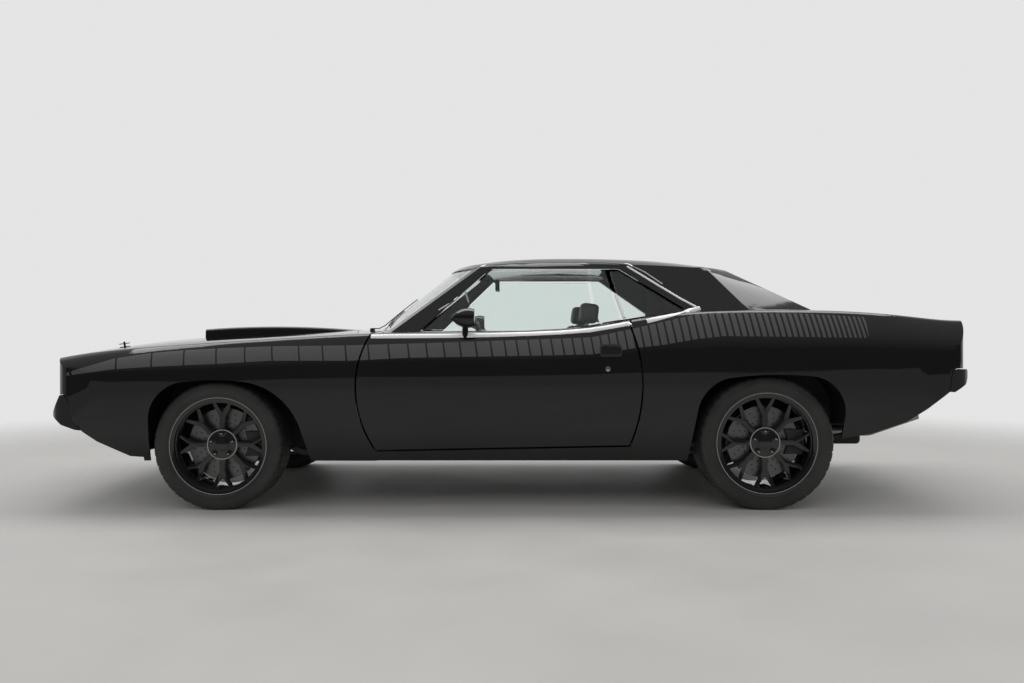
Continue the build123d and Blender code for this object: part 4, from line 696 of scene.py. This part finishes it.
for end, (low, high) in AXLES.items():
    centre = (low + high) / 2
    outer_face = Vector((centre.x, low.y, centre.z))
    spoke_face = outer_face + Vector((0, SPOKE_FACE[end], 0))
    rim = (high.z - low.z) / 2
    bodies = (f"wheel_{end}_left", f"wheel_{end}_right")
    ring = lathe(ring_profile, spoke_face, OUT, 64)
    lip = lathe([(out, rim - inside) for out, inside in lip_profile], outer_face, OUT, 128)
    cap = lathe(cap_profile, spoke_face, OUT, 48)
    pair(f"hub_ring_{end}", *ring, rim_painted_highlight, bodies)
    pair(f"rim_edge_{end}", *lip, rim_painted_highlight, bodies)
    pair(f"wheel_cap_{end}", *cap, wheel_black, bodies)
    nuts = []
    for n in range(LUG_COUNT):
        at = round_about(spoke_face, LUG_CIRCLE_RADIUS, math.pi / 2 + 2 * math.pi * n / LUG_COUNT)
        nuts.append(lathe(nut_profile, at, OUT, 6))
    pair(f"lug_nuts_{end}", *joined(*nuts), dark_chrome, bodies)
    valve_at = outer_face + Vector((0, VALVE_DEPTH, VALVE_INSET - rim))
    pair(f"valve_{end}", *lathe(valve_profile, valve_at, OUT, 12), satin_black, bodies)
    disc_low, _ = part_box(f"brake_disc_{end}_left")
    disc_face = Vector((centre.x, disc_low.y + DISC_FACE_DEPTH, centre.z))
    holes = []
    for row, circle in enumerate(disc_hole_circles):
        for n in range(DISC_HOLES):
            turn = 2 * math.pi * (n + row / len(disc_hole_circles)) / DISC_HOLES
            holes.append(lathe(hole_profile, round_about(disc_face, circle, turn), OUT, 10))
    pair(f"disc_holes_{end}", *joined(*holes), satin_black, bodies)

# Trim along the windows; the pale grey of the quarter and belt trim is painted shine of chrome
ROOF_SIDE = ("roof",)
DOOR_SIDE = ("door_left",)
REAR_SIDE = ("quarter_panel_left", "roof", "rear_shelf")
BODY = ("body", "body")
DOORS = ("door_left", "door_right")
TRIM_WIDTH = 0.012
TRIM_THICKNESS = 0.008
BELT_WIDTH = 0.026
BELT_THICKNESS_REAR = 0.010
BELT_THICKNESS_DOOR = 0.009
PIXELS_APART = 6.0
# Columns and rows of the photograph
drip_pixels = [(436, 294), (452, 281), (470, 270), (486, 265.2), (520, 263.2), (560, 262.4),
               (604, 262.6), (628, 264.4), (645, 273), (662, 284.5)]
quarter_pixels = [(627, 266.5), (643, 276), (660, 286.5), (680, 298.5), (697, 307.5)]
belt_rear_pixels = [(647, 321.4), (656, 319.2), (668, 316.2), (683, 312.4), (700, 308.2)]
belt_door_pixels = [(371, 336.6), (400, 336.4), (450, 336.0), (500, 335.0), (530, 334.0),
                    (560, 332.7), (590, 330.4), (612, 326.8), (634, 322.8)]


def strip_along(name, pixels, names, width, thickness, material, bodies):
    """Strip along a line of the photograph on some CAD nodes, on both sides of the car."""
    places = [seen(column, row, names) for column, row in dense(pixels, PIXELS_APART)]
    path = [at for at, _ in places]
    return pair(name, *sweep(path, width, thickness, [normal for _, normal in places]), material,
                bodies)


strip_along("drip_rail", drip_pixels, ROOF_SIDE, TRIM_WIDTH, TRIM_THICKNESS, dark_chrome, BODY)
strip_along("quarter_trim", quarter_pixels, ROOF_SIDE, TRIM_WIDTH, TRIM_THICKNESS, bright_trim, BODY)
strip_along("belt_trim_rear", belt_rear_pixels, REAR_SIDE, BELT_WIDTH, BELT_THICKNESS_REAR, bright_trim,
            BODY)
strip_along("belt_trim_door", belt_door_pixels, DOOR_SIDE, BELT_WIDTH, BELT_THICKNESS_DOOR, bright_trim,
            DOORS)

# Bar between the door glass and the quarter glass
BAR_TOP_PIXEL = (608.5, 270.5)
BAR_LOW_PIXEL = (625.5, 318.0)
BAR_WIDTH = 0.016
BAR_THICKNESS = 0.012
BAR_SHIFT = Vector((-0.006, 0, 0))
BAR_STEPS = 8
bar_top, _ = seen(*BAR_TOP_PIXEL, ("quarter_glass",))
bar_low, bar_faces = seen(*BAR_LOW_PIXEL, ("quarter_glass",))
bar_path = [bar_low.lerp(bar_top, n / BAR_STEPS) + BAR_SHIFT for n in range(BAR_STEPS + 1)]
pair("division_bar", *sweep(bar_path, BAR_WIDTH, BAR_THICKNESS, [bar_faces] * len(bar_path)), bright_trim,
     BODY)

# Door handles and locks
HANDLE_FRAME_PIXEL = (611.0, 350.6)
HANDLE_FLAP_PIXEL = (611.0, 350.2)
LOCK_PIXEL = (608.0, 368.8)
HANDLE_FRAME_SIZE = (0.108, 0.064, 0.0016)
HANDLE_FLAP_SIZE = (0.096, 0.040, 0.0042)
lock_profile = [(-0.002, 0.0), (0.0030, 0.0), (0.0030, 0.006), (0.0022, 0.0125), (-0.002, 0.0135)]
for name, pixel, size, material in (
        ("handle_frame", HANDLE_FRAME_PIXEL, HANDLE_FRAME_SIZE, satin_black),
        ("handle_flap", HANDLE_FLAP_PIXEL, HANDLE_FLAP_SIZE, black_paint)):
    at, normal = seen(*pixel, DOOR_SIDE)
    right = Vector((1, 0, 0)) - normal * normal.x
    right.normalize()
    up = normal.cross(right)
    pair(name, *plate(at, right, up if up.z > 0 else -up, *size), material, DOORS)
at, normal = seen(*LOCK_PIXEL, DOOR_SIDE)
pair("door_lock", *lathe(lock_profile, at, normal, 32), chrome, DOORS)

# Mirrors: glass and a rim in each housing's rear face
TAIL = Vector((1, 0, 0))
mirror_low, mirror_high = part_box("mirror_left")
mirror_half = (mirror_high.y - mirror_low.y) / 2
mirror_at = Vector((mirror_high.x, mirror_low.y + mirror_half, mirror_high.z - mirror_half))
mirror_rim_profile = [(-0.004, 0.0435), (0.0, 0.0435), (0.0, 0.0395), (-0.004, 0.0385)]
mirror_face_profile = [(-0.002, 0.0), (-0.0008, 0.0), (-0.0008, 0.0398), (-0.002, 0.0398)]
silver = plain("mirror_glass", rgba(0.86), rgba(0.90), (0.0, 0.01), metallic=1.0, relief=0.0)
pair("mirror_rim", *lathe(mirror_rim_profile, mirror_at, TAIL, 48), satin_black, DOORS)
pair("mirror_face", *lathe(mirror_face_profile, mirror_at, TAIL, 48), silver, DOORS, "glass")

# Wipers, lying on the windscreen's foot
WIPER_NODES = ("windscreen", "cowl_panel", "hood")
WIPER_X = -0.735
BLADE_X = -0.640
WIPER_START_Y = {"left": -0.52, "right": 0.10}
ARM_STEP = (0.030, 0.055)
BLADE_STEP = (0.004, 0.06)
BLADE_START = -0.02
ARM_RISE = 0.010
FOOT_RISE = 0.012
BLADE_RISE = 0.006
ARM_SIZE = (0.010, 0.006)
BLADE_SIZE = (0.008, 0.010)
wiper_hub_profile = [(-0.006, 0.0), (0.016, 0.0), (0.014, 0.012), (-0.006, 0.016)]
for side, start_y in WIPER_START_Y.items():
    foot, foot_normal = under(WIPER_X, start_y, WIPER_NODES)
    places = [under(WIPER_X + ARM_STEP[0] * n, start_y + ARM_STEP[1] * n, WIPER_NODES)
              for n in range(1, 8)]
    path = [foot + foot_normal * FOOT_RISE] + [at + normal * ARM_RISE for at, normal in places]
    arm = sweep(path, *ARM_SIZE, [foot_normal] + [normal for _, normal in places])
    places = [under(BLADE_X + BLADE_STEP[0] * n, start_y + BLADE_START + BLADE_STEP[1] * n, WIPER_NODES)
              for n in range(9)]
    blade = sweep([at + normal * BLADE_RISE for at, normal in places], *BLADE_SIZE,
                  [normal for _, normal in places])
    hub = lathe(wiper_hub_profile, foot, foot_normal, 24)
    new_piece(f"wiper_{side}", *joined(arm, blade, hub), satin_black, "body")

# Hood pins with their clips
PIN_X = -2.05
PIN_Y = 0.56
CLIP_RISE = 0.018
CLIP_START = -0.028
CLIP_STEP = 0.008
CLIP_SIZE = (0.005, 0.005)
pin_foot_profile = [(-0.002, 0.0), (0.0035, 0.0), (0.0030, 0.026), (-0.002, 0.028)]
pin_profile = [(0.0, 0.0), (0.030, 0.0), (0.028, 0.005), (0.0, 0.006)]
pin_parts = []
for side in (-1, 1):
    at, normal = under(PIN_X, side * PIN_Y, ("hood",))
    pin_parts.append(lathe(pin_foot_profile, at, normal, 32))
    pin_parts.append(lathe(pin_profile, at, normal, 16))
    along = (Vector((1, 0, 0)) - normal * normal.x).normalized()
    clip = [at + normal * CLIP_RISE + along * (CLIP_STEP * n + CLIP_START) for n in range(8)]
    pin_parts.append(sweep(clip, *CLIP_SIZE, [normal] * len(clip)))
new_piece("hood_pins", *joined(*pin_parts), satin_black, "hood")

# Mirror in the cabin
ACROSS = Vector((0, 1, 0))
UPWARD = Vector((0, 0, 1))
CABIN_MIRROR_BEHIND = 0.10
CABIN_MIRROR_Z = 1.165
CABIN_MIRROR_SIZE = (0.24, 0.062, 0.012)
CABIN_FACE_SIZE = (0.225, 0.050, 0.0015)
CABIN_FACE_SINK = 0.0005
CABIN_CORNER = 0.45
STALK_SIZE = (0.012, 0.012)
stalk_places = [(-0.004, 0, 0.01), (-0.03, 0, 0.035), (-0.055, 0, 0.062)]
_, screen_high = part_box("windscreen")
rear_view = Vector((screen_high.x + CABIN_MIRROR_BEHIND, 0.0, CABIN_MIRROR_Z))
view_back = plate(rear_view, ACROSS, UPWARD, *CABIN_MIRROR_SIZE, CABIN_CORNER)
stalk = sweep([rear_view + Vector(place) for place in stalk_places], *STALK_SIZE,
              [ACROSS] * len(stalk_places))
face_at = rear_view + Vector((CABIN_MIRROR_SIZE[2] - CABIN_FACE_SINK, 0, 0))
view_face = plate(face_at, ACROSS, UPWARD, *CABIN_FACE_SIZE, CABIN_CORNER)
new_piece("cabin_mirror", *joined(view_back, stalk), satin_black, "body")
new_piece("cabin_mirror_face", *view_face, silver, "body", "glass")

# Lamps
NOSE = Vector((-1, 0, 0))
lamp_low, lamp_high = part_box("headlamps")
lamp_radius = (lamp_high.z - lamp_low.z) / 2
lamp_centre = Vector((lamp_low.x, lamp_low.y + lamp_radius, (lamp_low.z + lamp_high.z) / 2))
# How far out, and how far outside the lamp's radius
bezel_profile = [(-0.004, 0.001), (0.010, 0.001), (0.012, -0.003), (0.004, -0.007), (-0.004, -0.007)]
bezel = lathe([(out, lamp_radius + wider) for out, wider in bezel_profile], lamp_centre, NOSE, 64)
pair("lamp_bezel", *bezel, chrome, BODY)

LAMP_OUTER_Y = -0.750
LAMP_INNER_Y = -0.300
LAMP_LOW_Z = 0.760
LAMP_HIGH_Z = 0.856
LAMP_BARS = 9
BAR_POINTS = 7
BAR_START = 0.004
BAR_STEP = 0.0147
FRAME_SIZE = (0.010, 0.010)
LAMP_BAR_SIZE = (0.006, 0.006)
FRAME_STEP = 0.03
PROUD = Vector((0.001, 0, 0))
frame_corners = [(LAMP_OUTER_Y, LAMP_LOW_Z), (LAMP_INNER_Y, LAMP_LOW_Z), (LAMP_INNER_Y, LAMP_HIGH_Z),
                 (LAMP_OUTER_Y, LAMP_HIGH_Z), (LAMP_OUTER_Y, LAMP_LOW_Z)]
path = [level_with(y, z, ("tail_lamps", "tail_panel"), -1)[0] + PROUD
        for y, z in dense(frame_corners, FRAME_STEP)[:-1]]
frames = [sweep(path, *FRAME_SIZE, [TAIL] * len(path), 8, True)]
for n in range(1, LAMP_BARS):
    y = LAMP_OUTER_Y + n * (LAMP_INNER_Y - LAMP_OUTER_Y) / LAMP_BARS
    path = [level_with(y, LAMP_LOW_Z + BAR_START + BAR_STEP * k, ("tail_lamps",), -1)[0] + PROUD
            for k in range(BAR_POINTS)]
    frames.append(sweep(path, *LAMP_BAR_SIZE, [TAIL] * len(path), 6))
pair("tail_lamp_frame", *joined(*frames), chrome, BODY)

# Seats
CUSHION_GRID = 22
SQUARENESS = 4.5
SEAM_SHARPNESS = 8
EDGE_SHARE = 0.93


def cushion(name, low, high, tilt, channels, depth):
    """Crowned cushion between two corners, with sewn channels across it, leaning back by a tilt."""
    middle = (low + high) / 2
    half = (high - low) / 2
    lean = math.radians(tilt)
    edit = bmesh.new()
    bmesh.ops.create_cube(edit, size=2.0)
    bmesh.ops.subdivide_edges(edit, edges=edit.edges[:], cuts=CUSHION_GRID, use_grid_fill=True)
    for vert in edit.verts:
        length = sum(abs(value) ** SQUARENESS for value in vert.co) ** (1 / SQUARENESS)
        q = vert.co / length
        seam = math.cos(math.pi * channels * (q.y + 1) / 2) ** 2
        pinch = 1 - depth * seam ** SEAM_SHARPNESS if abs(q.y) < EDGE_SHARE else 1
        x, y, z = q.x * pinch * half.x, q.y * half.y, q.z * pinch * half.z
        vert.co = middle + Vector((x * math.cos(lean) + z * math.sin(lean), y,
                                   z * math.cos(lean) - x * math.sin(lean)))
    points = [vert.co.copy() for vert in edit.verts]
    index = {vert: n for n, vert in enumerate(edit.verts)}
    faces = [tuple(index[vert] for vert in face.verts) for face in edit.faces]
    edit.free()
    piece = new_piece(name, points, faces, seat_leather, "body", "leather", creased=False)
    smooth_it = piece.modifiers.new("smooth", "SUBSURF")
    smooth_it.levels = smooth_it.render_levels = 1
    return piece


def between(corner, x_range, y_range, z_range):
    """The low and the high corner of a box, with its x and z counted from a corner."""
    low = Vector((corner.x + x_range[0], min(y_range), corner.z + z_range[0]))
    high = Vector((corner.x + x_range[1], max(y_range), corner.z + z_range[1]))
    return low, high


front_low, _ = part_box("front_seats")
bench_low, bench_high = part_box("rear_seat")
SEAT_Y = 0.370
CHANNEL_DEPTH = 0.10
# Each entry: x range and z range from the seats' low corner, half width, tilt, channels, their depth
seat_parts = {
    "seat_cushion": ((0.01, 0.50), (0.075, 0.235), 0.228, 5, 5, CHANNEL_DEPTH),
    "seat_back": ((0.435, 0.575), (0.09, 0.625), 0.228, 12, 5, CHANNEL_DEPTH),
    "headrest": ((0.530, 0.630), (0.630, 0.738), 0.115, 8, 1, 0.0),
}
POST_SHIFT = 0.05
POST_SIZE = (0.010, 0.010)
post_ends = [(0.565, 0.56), (0.578, 0.66)]
FRAME_PLACE = (0.25, 0.045)
FRAME_PLATE_SIZE = (0.42, 0.34, 0.040)
FRAME_CORNER = 0.1
for side, sign in (("left", -1), ("right", 1)):
    middle_y = sign * SEAT_Y
    for name, (x_range, z_range, half, tilt, channels, depth) in seat_parts.items():
        corners = between(front_low, x_range, (middle_y - half, middle_y + half), z_range)
        cushion(f"{name}_{side}", *corners, tilt, channels, depth)
    posts = []
    for shift in (-POST_SHIFT, POST_SHIFT):
        post = [Vector((front_low.x + x, middle_y + shift, front_low.z + z)) for x, z in post_ends]
        posts.append(sweep(post, *POST_SIZE, [ACROSS] * len(post)))
    new_piece(f"headrest_posts_{side}", *joined(*posts), chrome, "body")
    frame_at = Vector((front_low.x + FRAME_PLACE[0], middle_y, front_low.z + FRAME_PLACE[1]))
    base = plate(frame_at, Vector((1, 0, 0)), ACROSS, *FRAME_PLATE_SIZE, FRAME_CORNER)
    new_piece(f"seat_frame_{side}", *base, satin_black, "body")
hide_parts("front_seats")

BENCH_TOP_ROOM = 0.004
back_top = bench_high.z - bench_low.z - BENCH_TOP_ROOM
# Each entry: x range, y range and z range from the bench's low corner and middle, tilt, channels
bench_parts = {
    "bench_cushion": ((0, 0.245), (0.140, 0.555), (0.08, 0.262), 4, 4),
    "bench_back": ((0.215, 0.315), (0, 0.555), (0.10, back_top), 6, 6),
}
for side, sign in (("left", -1), ("right", 1)):
    for name, (x_range, y_range, z_range, tilt, channels) in bench_parts.items():
        corners = between(bench_low, x_range, [sign * y for y in y_range], z_range)
        cushion(f"{name}_{side}", *corners, tilt, channels, CHANNEL_DEPTH)
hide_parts("rear_seat")

# Floor and light
FLOOR_HALF = 30.0
FADE_START = 3.6
FADE_END = 7.0
BACKDROP = 0.78
ROOM_DARK = 0.08
FLOOR_DARK = 0.33
CEILING_LEVEL = 0.45


def floor_material():
    """Pale sealed concrete that fades into the backdrop away from the car."""
    material, tree, output = blank("pale_floor")
    away = put(tree, "ShaderNodeVectorMath", {0: place_of(tree)}, operation="LENGTH").outputs["Value"]
    fade = put(tree, "ShaderNodeMapRange", {"Value": away, "From Min": FADE_START, "From Max": FADE_END},
               interpolation_type="SMOOTHSTEP").outputs[0]
    grain = noise(tree, 1.6, 8.0, 0.6)
    speck = noise(tree, 60.0, 3.0)
    colour = mixed(tree, grain, (0.33, 0.325, 0.315, 1), (0.42, 0.415, 0.40, 1))
    shader = put(tree, "ShaderNodeBsdfPrincipled", {
        "Base Color": colour, "Roughness": spread(tree, grain, 0.42, 0.7),
        "Specular IOR Level": 0.35, "Normal": bump(tree, speck, 0.06, 0.001)})
    parts = put(tree, "ShaderNodeSeparateXYZ", {0: place_of(tree)})
    wall_side = put(tree, "ShaderNodeMapRange", {"Value": parts.outputs[1], "From Min": -2.0,
                                                 "From Max": 2.0, "To Min": FLOOR_DARK,
                                                 "To Max": BACKDROP}).outputs[0]
    rays = put(tree, "ShaderNodeLightPath")
    strength = put(tree, "ShaderNodeMix", {0: rays.outputs["Is Glossy Ray"], 2: BACKDROP, 3: wall_side},
                   data_type="FLOAT").outputs[0]
    glow = put(tree, "ShaderNodeEmission", {"Color": (1, 1, 1, 1), "Strength": strength})
    both = put(tree, "ShaderNodeMixShader", {0: fade, 1: shader.outputs[0], 2: glow.outputs[0]})
    tree.links.new(both.outputs[0], output.inputs[0])
    return material


floor_mesh = bpy.data.meshes.new("studio_floor")
floor_corners = [(-FLOOR_HALF, -FLOOR_HALF, 0), (FLOOR_HALF, -FLOOR_HALF, 0), (FLOOR_HALF, FLOOR_HALF, 0),
                 (-FLOOR_HALF, FLOOR_HALF, 0)]
floor_mesh.from_pydata(floor_corners, [], [(0, 1, 2, 3)])
floor_mesh.materials.append(floor_material())
floor = bpy.data.objects.new("studio_floor", floor_mesh)
scene.collection.objects.link(floor)


def world_light():
    """White backdrop, with a darker room away from the wall and below the ceiling in reflections."""
    world = bpy.data.worlds.new("studio")
    scene.world = world
    world.use_nodes = True
    tree = world.node_tree
    tree.nodes.clear()
    output = tree.nodes.new("ShaderNodeOutputWorld")
    way = put(tree, "ShaderNodeSeparateXYZ", {0: put(tree, "ShaderNodeTexCoord").outputs["Generated"]})
    wall = put(tree, "ShaderNodeMapRange", {"Value": way.outputs[1], "From Min": 0.0, "From Max": 0.6,
                                            "To Min": ROOM_DARK, "To Max": BACKDROP},
               interpolation_type="SMOOTHSTEP").outputs[0]
    ceiling = put(tree, "ShaderNodeMapRange", {"Value": way.outputs[2], "From Min": 0.2,
                                               "From Max": 0.9, "To Min": 0.0,
                                               "To Max": CEILING_LEVEL},
                  interpolation_type="SMOOTHSTEP").outputs[0]
    room = math_node(tree, "MAXIMUM", wall, ceiling)
    rays = put(tree, "ShaderNodeLightPath")
    other_rays = math_node(tree, "SUBTRACT", 1.0, rays.outputs["Is Glossy Ray"])
    level = put(tree, "ShaderNodeMix", {0: other_rays, 2: room, 3: BACKDROP},
                data_type="FLOAT").outputs[0]
    background = put(tree, "ShaderNodeBackground", {"Color": (1, 1, 1, 1), "Strength": level})
    tree.links.new(background.outputs[0], output.inputs[0])


world_light()


def area_light(name, at, aim, size, power):
    """Soft rectangular lamp pointed at a place."""
    data = bpy.data.lights.new(name, "AREA")
    data.energy = power
    data.shape = "RECTANGLE"
    data.size, data.size_y = size
    lamp = bpy.data.objects.new(name, data)
    lamp.location = at
    lamp.rotation_euler = (Vector(aim) - Vector(at)).to_track_quat("-Z", "Y").to_euler()
    scene.collection.objects.link(lamp)
    return lamp


area_light("ceiling", (0, 1.0, 5.5), (0, 0, 0), (9.0, 3.0), 300.0)
fill_light = area_light("front_fill", (-1.0, -7.5, 4.2), (0, 0, 0.4), (5.0, 2.0), 110.0)
fill_light.visible_glossy = False
